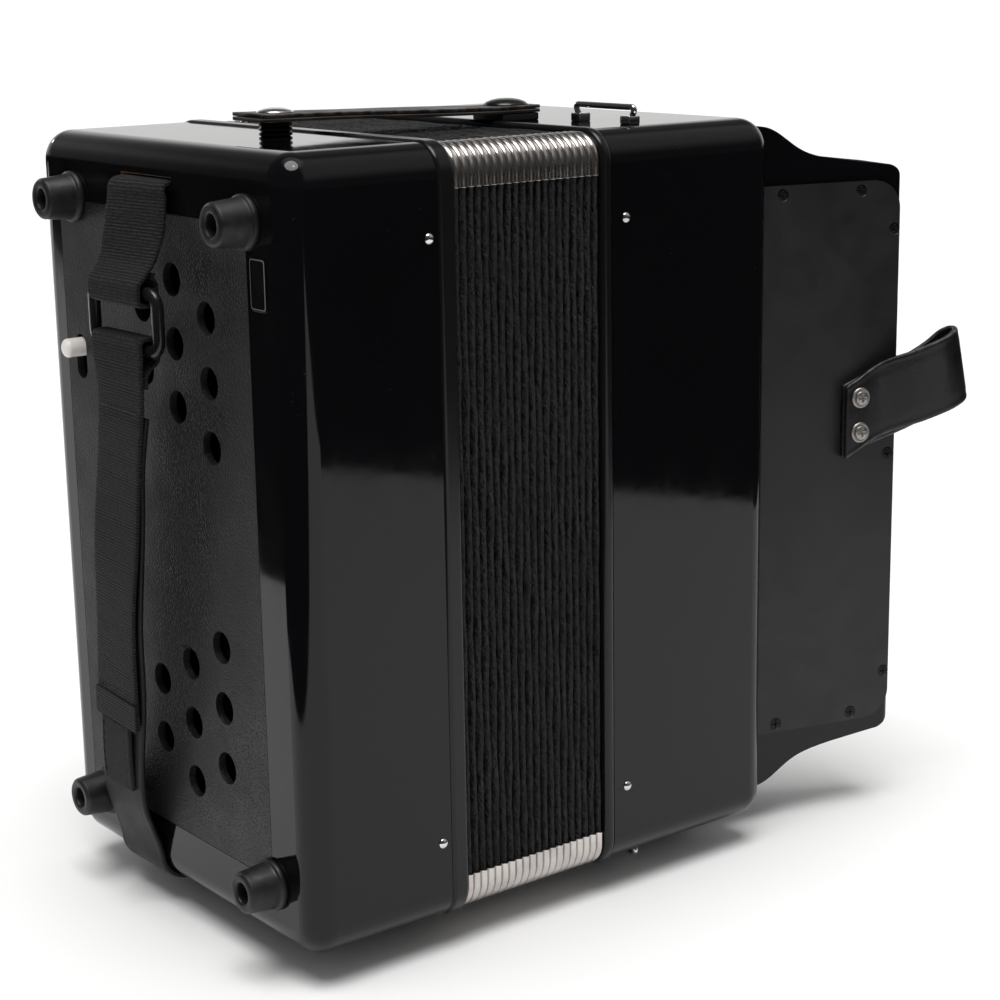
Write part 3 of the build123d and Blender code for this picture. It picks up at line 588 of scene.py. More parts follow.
def bellows_weave(name):
    """Coarse dusty black cloth on the folds, lumpy like cord, its colour darker in the hollows between
    the lumps as painted shade.
    """
    finish = Finish(name, 0.7, IOR=1.4)
    patches = finish.noise(45.0, 5.0)
    lumps = finish.noise(1.0, 3.0, stretch=(360.0, 300.0, 330.0), roughness=0.6)
    raised = finish.remap(lumps, 0.36, 0.62)
    # Colour follows the lumps' height: painted shade darkens the hollows, and the raised lumps are
    # lighter.
    shade = finish.colour(raised, (0.0025, 0.0023, 0.0025), (0.014, 0.0125, 0.0135))
    lint = finish.remap(finish.noise(900.0, 3.0), 0.7, 0.78, 0.0, 0.5)
    finish.base(finish.colour(lint, shade, (0.1, 0.095, 0.095)))
    finish.rough(finish.remap(patches, 0.3, 0.7, 0.5, 0.8))
    finish.bump(raised, 1.0, 0.0009)
    finish.bump(finish.noise(1.0, 2.0, stretch=(2600.0, 1500.0, 1500.0)), 0.5, 0.0003)
    return finish.material


def wood(name, low, high):
    """Raw wood with its grain along Z."""
    finish = Finish(name, 0.65)
    rings = finish.noise(60.0, 6.0, stretch=(1.0, 1.0, 0.08), roughness=0.6)
    finish.base(finish.colour(finish.remap(rings, 0.35, 0.65), low, high))
    finish.bump(finish.noise(300.0, 3.0, stretch=(1.0, 1.0, 0.1)), 0.3, 0.0002)
    return finish.material


def pearl(name):
    """Pearl plastic with a cloudy swirl."""
    finish = Finish(name, 0.18, IOR=1.53)
    swirl = finish.noise(110.0, 3.0, roughness=0.4)
    cloudy = finish.remap(swirl, 0.35, 0.65)
    finish.base(finish.colour(cloudy, (0.62, 0.6, 0.55), (0.86, 0.85, 0.82)))
    finish.shader.inputs["Coat Weight"].default_value = 0.4
    finish.rough(finish.remap(swirl, 0.3, 0.7, 0.12, 0.24))
    finish.bump(finish.noise(300.0, 2.0), 0.05, 0.0002)
    return finish.material


LACQUER_BLACKS = ((0.0020, 0.0019, 0.0024), (0.0036, 0.0034, 0.0042))
BLACK = lacquer("black_lacquer", *LACQUER_BLACKS, roughness=0.05, ripple=0.04)
BADGE_DARK = lacquer("badge_ground", *LACQUER_BLACKS, roughness=0.09, ripple=0.03)
FRAME_BLACK = lacquer(
    "frame_lacquer", (0.004, 0.0037, 0.004), (0.008, 0.0073, 0.008), roughness=0.18, ripple=0.15
)
LEATHERETTE = leather(
    "end_leatherette", (0.007, 0.0064, 0.0074), (0.015, 0.0138, 0.0155), roughness=0.44, grain=1000.0,
    depth=0.9,
)
STRAP_LEATHER = leather(
    "strap_leather", (0.010, 0.009, 0.0085), (0.022, 0.019, 0.0175), roughness=0.42, grain=1100.0,
    depth=0.3, edge=STRAP_WIDTH / 2 * MM, coords="UV",
)
STRAP_LINING = leather(
    "strap_lining", (0.05, 0.042, 0.036), (0.11, 0.095, 0.082), roughness=0.6, grain=900.0, depth=0.3
)
UNDER_LEATHER = leather(
    "under_leather", (0.005, 0.0042, 0.005), (0.013, 0.011, 0.0125), roughness=0.6, grain=1000.0,
    depth=0.4, coords="UV",
)
THUMB_LEATHER = leather(
    "thumb_leather", (0.0045, 0.0041, 0.0044), (0.0095, 0.0088, 0.0093), roughness=0.28, grain=1200.0,
    depth=0.12, edge=THUMB_WIDTH / 2 * MM, coords="UV",
)
FOLD_CLOTH = bellows_weave("bellows_cloth")
NICKEL = metal("corner_plating", (0.6, 0.565, 0.54), roughness=0.2, dull=0.03, scratched=0.0005)
CHROME = metal("chrome", (0.72, 0.71, 0.7), roughness=0.09, dull=0.08)
SCREW_STEEL = metal("screw_steel", (0.42, 0.4, 0.38), roughness=0.34, dull=0.14, scratched=0.2)
BLACK_METAL = metal("blackened_steel", (0.03, 0.029, 0.029), roughness=0.34)
RUBBER = rubber("foot_rubber", (0.0055, 0.0053, 0.0056), (0.014, 0.0133, 0.0138))
COVER_BLACK = moulded(
    "cover_black", (0.009, 0.0082, 0.0095), (0.0145, 0.0133, 0.015), roughness=0.36, speckle=1800.0,
    depth=0.4,
)
PLASTIC = moulded(
    "black_plastic", (0.004, 0.0038, 0.004), (0.009, 0.0085, 0.009), roughness=0.2, speckle=900.0,
    depth=0.08,
)
GRILLE = moulded(
    "grille_paint", (0.012, 0.012, 0.012), (0.022, 0.021, 0.02), roughness=0.34, speckle=1500.0, depth=0.4
)
WEBBING = webbing("strap_webbing", (0.0015, 0.0014, 0.0015), (0.019, 0.0172, 0.0185), pitch=0.0012)
TAB_WEAVE = webbing("tab_weave", (0.006, 0.005, 0.0065), (0.022, 0.019, 0.0235), pitch=0.0007)
THREAD = rubber("thread", (0.014, 0.013, 0.013), (0.04, 0.037, 0.036))
PEARL = pearl("button_pearl")
AIR_WHITE = moulded(
    "air_plastic", (0.72, 0.66, 0.62), (0.86, 0.83, 0.8), roughness=0.3, speckle=700.0, depth=0.1
)
AIR_SHADER = AIR_WHITE.node_tree.nodes["Principled BSDF"]
AIR_SHADER.inputs["Subsurface Weight"].default_value = 0.35
AIR_SHADER.inputs["Subsurface Radius"].default_value = (0.004, 0.002, 0.0015)
WOOD = wood("inner_wood", (0.16, 0.085, 0.04), (0.30, 0.17, 0.085))
BADGE_PALE = moulded(
    "badge_border", (0.09, 0.085, 0.08), (0.17, 0.16, 0.15), roughness=0.4, speckle=700.0, depth=0.15
)

for node_name, material in {
    "bass_casing": BLACK,
    "treble_casing": BLACK,
    "fingerboard": BLACK,
    "bass_frame": FRAME_BLACK,
    "treble_frame": FRAME_BLACK,
    "bass_end_plate": LEATHERETTE,
    "fingerboard_cover": COVER_BLACK,
    "treble_grille": GRILLE,
    "strap_studs": PLASTIC,
    "bass_reed_block": WOOD,
    "treble_reed_block": WOOD,
}.items():
    nodes[node_name].data.materials.clear()
    nodes[node_name].data.materials.append(material)


# Bellows: deep folds of cloth, with plated caps on the corners of every fold


SECTION_STEP = 7.0
SECTION_ARC_STEPS = 7
SMALLEST_CORNER = 0.6


def section_ring(inset, radius):
    """Points round the body's rounded section, inset millimetres in, as (y, z)."""
    half = HALF_HEIGHT - inset
    arcs = corner_arcs(
        inset, DEPTH - inset, -half, half, max(radius, SMALLEST_CORNER), SECTION_ARC_STEPS
    )
    ring = []
    spans = [
        round((side - 2 * BELLOWS_CORNER) / SECTION_STEP) for side in (DEPTH, 2 * HALF_HEIGHT)
    ]
    for k, arc in enumerate(arcs):
        ring += arc
        (y, z), (next_y, next_z) = arc[-1], arcs[(k + 1) % 4][0]
        count = spans[k % 2]
        for i in range(1, count):
            t = i / count
            ring.append((y + (next_y - y) * t, z + (next_z - z) * t))
    return ring


FOLD_PROFILE = (
    (0.0, FOLD_DEPTH), (0.08, 5.0), (0.13, 2.4), (0.2, 1.1), (0.3, 0.35), (0.5, 0.0),
    (0.7, 0.35), (0.8, 1.1), (0.87, 2.4), (0.92, 5.0),
)
PLEAT_PITCH = (BELLOWS_END - BELLOWS_START) / PLEATS


def make_folds():
    stations = []
    for pleat in range(PLEATS):
        for share, sink in FOLD_PROFILE:
            stations.append((BELLOWS_START + (pleat + share) * PLEAT_PITCH, sink))
    stations.append((BELLOWS_END, FOLD_DEPTH))
    points = []
    for x, sink in stations:
        ring = section_ring(BELLOWS_INSET + sink, BELLOWS_CORNER - sink)
        inside = min(x - BELLOWS_START, BELLOWS_END - x) / PLEAT_PITCH
        pleat = math.floor((x - BELLOWS_START) / PLEAT_PITCH + 1e-6)
        for y, z in ring:
            from_corner = max(min(abs(y), abs(DEPTH - y)), HALF_HEIGHT - abs(z))
            free = min(max((from_corner - CORNER_REACH - 1.5) / 12.0, 0.0), 1.0)
            wander = 0.22 * math.sin(z * 0.11 + pleat * 1.7)
            wander += 0.16 * math.sin((z + y) * 0.31 + pleat * 2.9)
            sag = 0.18 * (1 + math.sin((z - y) * 0.17 + pleat * 2.3)) * free
            away = min(max(inside, 0.0), 1.0) * free
            inward_y = 1.0 if y < 3 else -1.0 if y > DEPTH - 3 else 0.0
            inward_z = -1.0 if z > HALF_HEIGHT - 3 else 1.0 if z < 3 - HALF_HEIGHT else 0.0
            points.append((x + wander * away, y + inward_y * sag, z + inward_z * sag))
    return mesh_object("bellows_folds_cloth", points, side_faces(len(stations), len(ring)), FOLD_CLOTH)


def corner_run(y_side, z_side, inset, radius):
    """The run of (y, z) points from the side face round one corner to the top or bottom face."""
    face_y = inset if y_side < 0 else DEPTH - inset
    face_z = z_side * (HALF_HEIGHT - inset)
    inner_y = -y_side
    ends = (0.0, 0.12, 0.5, 3.0)
    run = [(face_y, z_side * (HALF_HEIGHT - CORNER_REACH + end)) for end in ends]
    centre = (face_y + inner_y * radius, face_z - z_side * radius)
    for i in range(9):
        angle = math.radians(90.0 * i / 8)
        run.append((
            centre[0] + y_side * radius * math.cos(angle), centre[1] + z_side * radius * math.sin(angle),
        ))
    end_y = CORNER_REACH if y_side < 0 else DEPTH - CORNER_REACH
    run += [(end_y + y_side * end, face_z) for end in reversed(ends)]
    return run


def make_corner_caps():
    profile = []
    for degrees in (5, 20, 37, 54, 72, 90, 108, 126, 143, 160, 175):
        angle = math.radians(degrees)
        profile.append((0.5 - 0.425 * math.cos(angle), 1.7 * (1 - math.sin(angle))))
    points, faces = [], []
    for y_side in (-1, 1):
        for z_side in (-1, 1):
            for pleat in range(PLEATS):
                base = len(points)
                for share, sink in profile:
                    inset = BELLOWS_INSET - CORNER_PROUD + sink
                    radius = BELLOWS_CORNER + CORNER_PROUD - sink
                    x = BELLOWS_START + (pleat + share) * PLEAT_PITCH
                    run = corner_run(y_side, z_side, inset, radius)
                    points += [(x, y, z) for y, z in run]
                columns = len(run)
                for i in range(len(profile) - 1):
                    for j in range(columns - 1):
                        quad = (
                            base + i * columns + j,
                            base + i * columns + j + 1,
                            base + (i + 1) * columns + j + 1,
                            base + (i + 1) * columns + j,
                        )
                        faces.append(quad if y_side * z_side < 0 else tuple(reversed(quad)))
    piece = mesh_object("bellows_corner_caps", points, faces, NICKEL)
    shell = piece.modifiers.new("plate", "SOLIDIFY")
    shell.thickness = 0.3 * MM
    shell.offset = -1.0
    return piece


folds = make_folds()
caps = make_corner_caps()
for piece, node, slot in (
    (folds, "bellows_folds", "bellows_cloth"),
    (caps, "bellows_corners", "chrome"),
):
    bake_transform(piece)
    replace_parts(piece, node)


# Hand strap


def strap_course(z):
    """The middle of the hand strap across the face, and its edges' difference in X, at a height."""
    for (z_high, *high), (z_low, *low) in zip(STRAP_COURSE, STRAP_COURSE[1:]):
        if z >= z_low:
            share = (z - z_low) / (z_high - z_low)
            return [b + (a - b) * share for a, b in zip(high, low)]
    return STRAP_COURSE[-1][1:]


def webbing_course(profile):
    """A side profile of (x, z) as (x, y, z, lean, width) points along the hand strap's course."""
    course = []
    for x, z in profile:
        y, lean = strap_course(z)
        course.append((x, y, z, lean, WEBBING_WIDTH))
    return course


def hand_strap(name, course, thickness, material, **settings):
    """A strap through (x, y, z, lean, width) points."""
    path = [point[:3] for point in course]
    half_widths = [(-lean / 2, width / 2, 0.0) for *_, lean, width in course]
    return strap(name, path, half_widths, thickness, material, **settings)


def leather_course():
    """The leather under the webbing, down over the lower rim and under the casing."""
    course = [
        (-11.3, 97.0, 46.0, -1.6, 35.0), (-11.5, 102.5, 25.0, -1.7, 35.0),
        (-11.5, 105.6, 3.0, -1.2, 35.0), (-11.5, 107.4, -20.0, -2.4, 35.0),
        (-11.5, 108.6, -38.0, -3.6, 35.0),
        (-11.4, 111.4, -66.0, -2.2, 35.0), (-10.7, 117.0, -95.0, -1.2, 34.0),
        (-8.3, 121.0, -112.0, -0.6, 33.0), (-5.2, 122.0, -122.0, -0.2, 32.0),
        (-2.7, 122.0, -130.0, 0.0, 32.0),
    ]
    offset = LEATHER_THICKNESS / 2 + LEATHER_GAP
    radius = RIM_RADIUS + offset
    for i in range(6):
        angle = math.radians(18.0 * i)
        x = RIM_RADIUS - radius * math.cos(angle)
        z = RIM_RADIUS - HALF_HEIGHT - radius * math.sin(angle)
        course.append((x, 122.0, z, 0.0, 32.0))
    course.append((LEATHER_END_X, 122.0, -HALF_HEIGHT - offset, 0.0, 32.0))
    return course


UPPER_COURSE = webbing_course((
    (4.0, 131.0), (-1.6, 130.9), (-4.2, 129.0), (-4.9, 124.0), (-7.2, 113.5), (-10.2, 104.0),
    (-13.8, 98.4), (-16.2, 95.2), (-16.3, 89.8), (-14.7, 88.3), (-10.6, 88.3), (-9.1, 89.8),
    (-9.0, 95.2), (-10.4, 98.0), (-10.2, 99.8),
))
LOWER_COURSE = webbing_course((
    (-13.5, 58.0), (-13.7, 62.0), (-11.9, 65.3), (-9.1, 68.0), (-9.1, 74.4), (-10.7, 75.9),
    (-14.5, 75.9), (-16.1, 74.4),
    (-16.2, 69.0), (-15.8, 62.0), (-15.0, 52.0), (-14.7, 30.0), (-14.6, 0.0), (-14.7, -30.0),
    (-14.6, -60.0), (-14.2, -77.0),
))
TAB_COURSE = [
    (-13.9, 114.6, -78.4, -1.3, TAB_WIDTH), (-13.4, 116.2, -92.0, -1.0, TAB_WIDTH),
    (-11.7, 118.6, -105.5, -0.8, TAB_WIDTH),
]
upper = hand_strap(
    "hand_strap_upper", UPPER_COURSE, WEBBING_THICKNESS, WEBBING, ribs=0.09, rib_pitch=1.4, step=0.35,
)
lower = hand_strap(
    "hand_strap_lower", LOWER_COURSE, WEBBING_THICKNESS, WEBBING, ribs=0.09, rib_pitch=1.4, warp=0.12,
    step=0.35,
)
tab = hand_strap(
    "hand_strap_tab", TAB_COURSE, WEBBING_THICKNESS, TAB_WEAVE, ribs=0.05, rib_pitch=0.9, groove=0.25,
    step=0.3,
)
HEM_COURSE = [(x - 1.15, y, z, lean, width + 0.6) for x, y, z, lean, width in webbing_course((
    (-14.4, -66.8), (-14.3, -72.0), (-14.2, -77.5),
))]
hem = hand_strap("hand_strap_hem", HEM_COURSE, 0.9, WEBBING, ribs=0.05, rib_pitch=1.2, step=0.35)
underlay = hand_strap(
    "hand_strap_underlay", leather_course(), LEATHER_THICKNESS, UNDER_LEATHER, groove=0.2, warp=0.2,
    step=1.2,
)


for piece, course, rests in (
    (upper, UPPER_COURSE, "hand_strap_ring_frame"),
    (lower, LOWER_COURSE, "hand_strap_ring_frame"),
    (tab, TAB_COURSE, "hand_strap_underlay"),
    (hem, HEM_COURSE, "hand_strap_lower"),
):
    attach(piece, "bass")
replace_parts(upper, "hand_strap_webbing")
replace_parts(underlay, "hand_strap_leather")
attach(underlay, "bass")


def ring_loop():
    """The buckle ring: a rounded bar round a rounded rectangle."""
    corner, bar = 5.0, 2.5
    half_y, half_z = RING_HALF_WIDTH - bar, RING_HALF_HEIGHT - bar
    turn = Matrix.Rotation(RING_TURN, 3, "Z")
    arcs = corner_arcs(-half_y, half_y, -half_z, half_z, corner, 8)
    outline = [Vector((0.0, y, z)) for arc in arcs for y, z in arc]
    points, faces = [], []
    sides = 20
    count = len(outline)
    for i, centre in enumerate(outline):
        tangent = (outline[(i + 1) % count] - outline[i - 1]).normalized()
        outwards = tangent.cross(Vector((1, 0, 0))).normalized()
        for k in range(sides):
            angle = math.tau * k / sides
            c, s = math.cos(angle), math.sin(angle)
            flat = (abs(c) ** 2.6 + abs(s) ** 2.6) ** (-1 / 2.6)
            place = centre + outwards * (c * flat * bar) + Vector((s * flat * 2.0, 0, 0))
            points.append(turn @ place + Vector(RING_MIDDLE))
    for i in range(count):
        faces += ring_faces(i * sides, ((i + 1) % count) * sides, sides)
    return mesh_object("hand_strap_ring_frame", points, faces, PLASTIC)


ring = ring_loop()
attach(ring, "bass")
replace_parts(ring, "hand_strap_ring")


OUTWARDS = Vector((-1.0, 0.0, 0.0))
THREAD_RADIUS = 0.22
THREAD_BOW = 0.28
THREAD_SUNK = 0.1
THREAD_STEPS = 6


def stitches(name, line, length=2.2, gap=0.9):
    """A row of short thread stitches along a line on the outside of the hand strap."""
    line = [Vector(p) for p in line]
    made = []
    for a, b in zip(line, line[1:]):
        total = (b - a).length
        count = max(1, int(total / (length + gap)))
        direction = (b - a).normalized()
        side = direction.cross(OUTWARDS)
        for i in range(count):
            start = a + direction * (total * (i + 0.5) / count - length / 2)
            points = []
            for k in range(THREAD_STEPS):
                t = k / (THREAD_STEPS - 1)
                bow = THREAD_BOW * math.sin(math.pi * t) - THREAD_SUNK
                centre = start + direction * (length * t) + OUTWARDS * bow
                points += circle(centre, side, OUTWARDS, THREAD_RADIUS, THREAD_STEPS)
            made.append((points, tube_faces(THREAD_STEPS, THREAD_STEPS)))
    return mesh_object(name, *merge(made), THREAD)


def on_strap(course, offset, z, out):
    """A point on the outside of the hand strap at a height, offset across its width."""
    for (*high, _), (*low, _) in zip(course, course[1:]):
        if low[2] <= z <= high[2]:
            share = (z - low[2]) / (high[2] - low[2])
            x, y, _, lean = [b + (a - b) * share for a, b in zip(high, low)]
            return (x - out - lean * offset / WEBBING_WIDTH, y + offset, z)
    raise ValueError(f"the strap does not reach {z}")


STITCH_ROWS = ((48.5, 15.0), (44.5, 15.0), (-65.4, 16.0), (-64.2, 16.0))
TAB_STITCH_OFFSET = 10.2
FOLD_POINTS = 8
proud = WEBBING_THICKNESS / 2 + 0.05
front_of_lower = LOWER_COURSE[FOLD_POINTS:]
rows_made = []
for i, (z, reach) in enumerate(STITCH_ROWS):
    row = [on_strap(front_of_lower, offset, z, proud) for offset in (-reach, 0.0, reach)]
    rows_made.append(stitches(f"hand_strap_stitch_{i + 1}", row, length=1.6, gap=0.7))
for side in (-1, 1):
    edge_line = [on_strap(TAB_COURSE, side * TAB_STITCH_OFFSET, z, proud) for z in (-80.0, -92.0, -104.0)]
    rows_made.append(stitches(f"hand_strap_tab_stitch_{'lr'[side > 0]}", edge_line))
for piece in rows_made:
    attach(piece, "bass")

# Raw wood round the strap's slot
LINER = 0.3
LINER_START = 0.5
y0, y1, z0, z1 = TOP_SLOT
walls = (
    (y0, y1, z0, z0 + LINER), (y0, y1, z1 - LINER, z1),
    (y0, y0 + LINER, z0, z1), (y1 - LINER, y1, z0, z1),
)
liner = [box_mesh((LINER_START, ya, za), (SLOT_DEPTH, yb, zb)) for ya, yb, za, zb in walls]
liner = mesh_object("strap_slot_wood", *merge(liner), WOOD, smooth=False)
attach(liner, "bass")


# Badge: a plain plate with a raised pale border


BADGE_CORNER = 1.6


def layered_plate(name, layers, material):
    """A plate from outlines of (x, inset) steps, closed at both ends."""
    y0, y1, z0, z1 = BADGE
    points = []
    for x, inset in layers:
        arcs = corner_arcs(
            y0 + inset, y1 - inset, z0 + inset, z1 - inset, BADGE_CORNER - inset * 0.5, 6
        )
        points += [(x, y, z) for arc in arcs for y, z in arc]
    count = len(points) // len(layers)
    last = len(points) - count
    ends = [tuple(range(count)), tuple(reversed(range(last, last + count)))]
    return mesh_object(name, points, side_faces(len(layers), count) + ends, material, smooth=False)


badge_pieces = []
for name, layers, material in (
    ("badge_plate", ((0.0, 0.0), (-0.35, 0.0), (-0.42, 0.1), (-0.42, 0.4)), BADGE_DARK),
    ("badge_border", ((-0.36, 0.5), (-0.5, 0.55), (-0.56, 0.62), (-0.56, 0.9)), BADGE_PALE),
    ("badge_field", ((-0.4, 0.85), (-0.575, 0.87), (-0.59, 0.95)), BADGE_DARK),
):
    piece = layered_plate(name, layers, material)
    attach(piece, "bass")
    badge_pieces.append(piece)
badge = badge_pieces[0]
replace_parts(badge, "key_badge")


# Feet, pins and screws

END_FOOT = [
    (3.85, 5.0), (3.85, 13.2), (4.6, 14.0), (6.7, 14.0), (7.75, 13.0), (8.75, 2.6), (9.8, 1.7),
    (9.8, 0.0), (2.0, 0.0),
]
BASE_FOOT = [
    (0.0, 12.0), (3.0, 12.0), (3.4, 11.2), (5.0, 11.2), (5.4, 12.0), (6.8, 12.0), (8.0, 10.8), (8.0, 0.0),
]
FOOT_SCREW = [(0.0, 6.9), (1.6, 7.2), (3.2, 6.2), (3.3, 4.1), (1.6, 4.0), (1.6, 0.0)]
FOOT_CUP = [(0.0, 4.2), (3.9, 4.2), (3.9, 5.0)]
end_places = [((0.0, y, z), (-1, 0, 0)) for y in END_FOOT_Y for z in (END_FOOT_Z, -END_FOOT_Z)]
feet = turned("bass_end_feet", end_places, rounded(END_FOOT, 0.5), RUBBER, 48)
foot_cups = turned("bass_foot_cups", end_places, FOOT_CUP, RUBBER)
screws = turned("bass_foot_screws", end_places, rounded(FOOT_SCREW, 0.3), BLACK_METAL, 32)


def base_feet(name, x):
    places = [((x, y, -HALF_HEIGHT), (0, 0, -1)) for y in BASE_FOOT_Y]
    return turned(name, places, rounded(BASE_FOOT, 0.4), RUBBER, 48)


bass_base = base_feet("bass_base_feet", BASS_BASE_FOOT_X)
treble_base = base_feet("treble_base_feet", TREBLE_BASE_FOOT_X)
PIN_HEAD = [(0.0, 1.3), (0.55, 1.24), (1.1, 1.02), (1.55, 0.7), (1.9, 0.32), (2.1, 0.0), (1.1, 0.0)]


def pins(name, x, body):
    places = []
    for z in (PIN_Z, -PIN_Z):
        places += [((x, 0.0, z), (0, -1, 0)), ((x, DEPTH, z), (0, 1, 0))]
    piece = turned(name, places, PIN_HEAD, CHROME, 32)
    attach(piece, body)
    return piece


bass_pins = pins("bass_bellows_pins", BASS_PIN_X, "bass")
treble_pins = pins("treble_bellows_pins", TREBLE_PIN_X, "treble")


def cross_head(base, axis, radius, height, dome, reach, half_width, depth):
    """Points and faces of a screw head with a cross recess, from its rim up."""
    base = Vector(base)
    axis, side, other = frame_along(axis)
    rings, segments = 16, 72
    points = [base + axis * (height + dome - depth)]
    faces = []
    for r in range(1, rings + 1):
        share = r / rings
        for i in range(segments):
            angle = math.tau * i / segments
            u, v = share * radius * math.cos(angle), share * radius * math.sin(angle)
            level = height + dome * (1 - share**2) - 0.35 * max(0.0, share - 0.85) * height
            off, along = sorted((abs(u), abs(v)))
            if off < half_width and along < reach:
                level -= depth * (1 - 0.75 * (along / reach) ** 3)
            points.append(base + axis * level + side * u + other * v)
    faces += [(0, 1 + i, 1 + (i + 1) % segments) for i in range(segments)]
    for r in range(rings - 1):
        faces += ring_faces(1 + r * segments, 1 + (r + 1) * segments, segments)
    rim = 1 + (rings - 1) * segments
    faces += ring_faces(rim, len(points), segments)
    return points + circle(base, side, other, radius, segments), faces


COVER_HEAD = dict(radius=2.6, height=1.05, dome=0.15, reach=1.5, half_width=0.32, depth=0.7)
THUMB_HEAD = dict(radius=2.9, height=0.9, dome=0.65, reach=1.8, half_width=0.42, depth=0.95)


def screw_heads(name, places, inwards, head, material):
    """Screw heads at (w, z) places on the fingerboard, their rims inwards millimetres into it."""
    heads = [cross_head(board_point(w, inwards, z), BOARD_OUT, **head) for w, z in places]
    return mesh_object(name, *merge(heads), material)


cover_screws = screw_heads("cover_screws", COVER_SCREWS, 1.2, COVER_HEAD, BLACK_METAL)
thumb_screws = screw_heads("thumb_screws", THUMB_SCREWS, -6.1, THUMB_HEAD, SCREW_STEEL)
cups = [(board_point(w, -5.4, z), BOARD_OUT) for w, z in THUMB_SCREWS]
CUP_WASHER = rounded([(2.4, 0.6), (3.0, 0.85), (3.9, 0.9), (4.35, 0.45), (4.4, 0.0), (2.0, 0.0)], 0.2)
thumb_cups = turned("thumb_screw_cups", cups, CUP_WASHER, SCREW_STEEL, 48)

for piece, body, slot in (
    (feet, "bass", "rubber"),
    (foot_cups, "bass", "rubber"),
    (bass_base, "bass", "rubber"),
    (screws, "bass", "chrome"),
    (treble_base, "treble", "rubber"),
    (cover_screws, "treble", "cover_black"),
    (thumb_screws, "treble", "chrome"),
    (thumb_cups, "treble", "chrome"),
):
    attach(piece, body)
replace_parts(feet, "bass_feet")
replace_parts(bass_pins, "bass_fasteners")
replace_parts(treble_base, "treble_feet")
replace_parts(treble_pins, "treble_fasteners")


# Thumb strap: one leather strip, bent back on itself and screwed down through both layers

thumb_points = [board_point(w, -q, z) for w, q, z, _ in THUMB_PATH]
thumb_halves = []
for *_, lean in THUMB_PATH:
    up, back = math.cos(math.radians(lean)), math.sin(math.radians(lean))
    thumb_halves.append((Vector((0, 0, up)) - BOARD_ALONG * back) * (THUMB_WIDTH / 2))
thumb = strap(
    "thumb_strap_leather", thumb_points, thumb_halves, THUMB_THICKNESS, THUMB_LEATHER, groove=0.16,
    step=0.8,
)
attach(thumb, "treble")
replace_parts(thumb, "thumb_strap")


# Bellows straps, above and below: leather on the treble casing that bends at its hinge


PLY_OFFSET = 0.78
PLY_THICKNESS = 1.42
SNAP_PROFILE = [(0.0, 1.6), (2.5, 1.5), (4.6, 1.15), (6.2, 0.6), (6.9, 0.15), (7.0, -0.2), (5.0, -0.2)]
ANCHOR_CAP_PROFILE = [
    (0.0, 2.6), (3.0, 2.5), (5.6, 2.0), (7.6, 1.25), (8.7, 0.4), (8.9, 0.0), (8.6, -0.2), (6.0, -0.2),
]


def bellows_strap(name, body, side):
    """The strap, its caps and the pad under its fixed end, above for side 1 and below for side -1."""
    free_middle = STRAP_FREE_BASE + STRAP_THICKNESS / 2
    rise = ((STRAP_FREE_X, 1.0), (60.0, 0.77), (100.0, 0.4), (128.0, 0.14), (STRAP_HINGE_X, 0.0))
    plies = []
    for ply, (out, material) in enumerate(((PLY_OFFSET, STRAP_LEATHER), (-PLY_OFFSET, STRAP_LINING))):
        path = []
        for x, share in rise:
            middle = STRAP_HINGE_Z + (free_middle - STRAP_HINGE_Z) * share
            path.append((x, STRAP_Y, side * (middle + out)))
        path += [(x, STRAP_Y, side * (STRAP_HINGE_Z + out)) for x in (148.0, 155.0, ANCHOR_END)]
        half_widths = [(0.0, side * STRAP_WIDTH / 2, 0.0)] * len(path)
        plies.append(strap(
            f"{name}_ply_{ply + 1}", path, half_widths, PLY_THICKNESS, material, groove=0.1 * (out > 0),
            warp=0.08, step=1.5, edge_round=0.12,
        ))
    for piece in plies:
        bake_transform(piece)
    snap_place = ((STUD_X, STRAP_Y, side * (STRAP_FREE_BASE + 2.85)), (0, 0, side))
    snap = turned(name + "_snap", [snap_place], SNAP_PROFILE, CHROME)
    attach(snap, body)
    cap_place = ((ANCHOR_CAP_X, STRAP_Y, side * ANCHOR_TOP), (0, 0, side))
    cap = turned(name + "_anchor_cap", [cap_place], ANCHOR_CAP_PROFILE, PLASTIC)
    pad_z = sorted((side * HALF_HEIGHT, side * 147.95))
    half = STRAP_WIDTH / 2 - 0.3
    pad = bevelled_box(
        name + "_pad",
        (ANCHOR_START, STRAP_Y - half, pad_z[0]),
        (ANCHOR_END - 0.3, STRAP_Y + half, pad_z[1]),
        0.5,
        STRAP_LEATHER,
    )
    for fixed, slot in ((cap, "plastic_black"), (pad, "leather_black")):
        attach(fixed, "treble")
    return plies[0]


top = bellows_strap("top_strap", "top_strap", 1)
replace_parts(top, "top_strap", "strap_anchors")
bottom = bellows_strap("bottom_strap", "bottom_strap", -1)
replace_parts(bottom, "bottom_strap")


# Shoulder strap brackets


def bracket(name, side):
    outline = [
        (BRACKET_FOOT_Y[0], side * HALF_HEIGHT), (BRACKET_BAR_Y[0], side * BRACKET_BAR_Z),
        (BRACKET_BAR_Y[1], side * BRACKET_BAR_Z), (BRACKET_FOOT_Y[1], side * HALF_HEIGHT),
    ]
    bent = [Vector((BRACKET_X, y, z)) for y, z in rounded(outline, 2.2, 6)]
    pieces = [wire(name + "_wire", bent, BRACKET_WIRE, CHROME)]
    z_low, z_high = sorted((side * HALF_HEIGHT, side * (HALF_HEIGHT + BRACKET_FOOT_HEIGHT)))
    for i, y in enumerate(BRACKET_FOOT_Y):
        low = (BRACKET_X - BRACKET_FOOT_HALF, y - BRACKET_FOOT_HALF, z_low)
        high = (BRACKET_X + BRACKET_FOOT_HALF, y + BRACKET_FOOT_HALF, z_high)
        pieces.append(bevelled_box(f"{name}_foot_{i + 1}", low, high, 0.45, CHROME))
    for piece in pieces:
        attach(piece, "treble")
    return pieces[0]


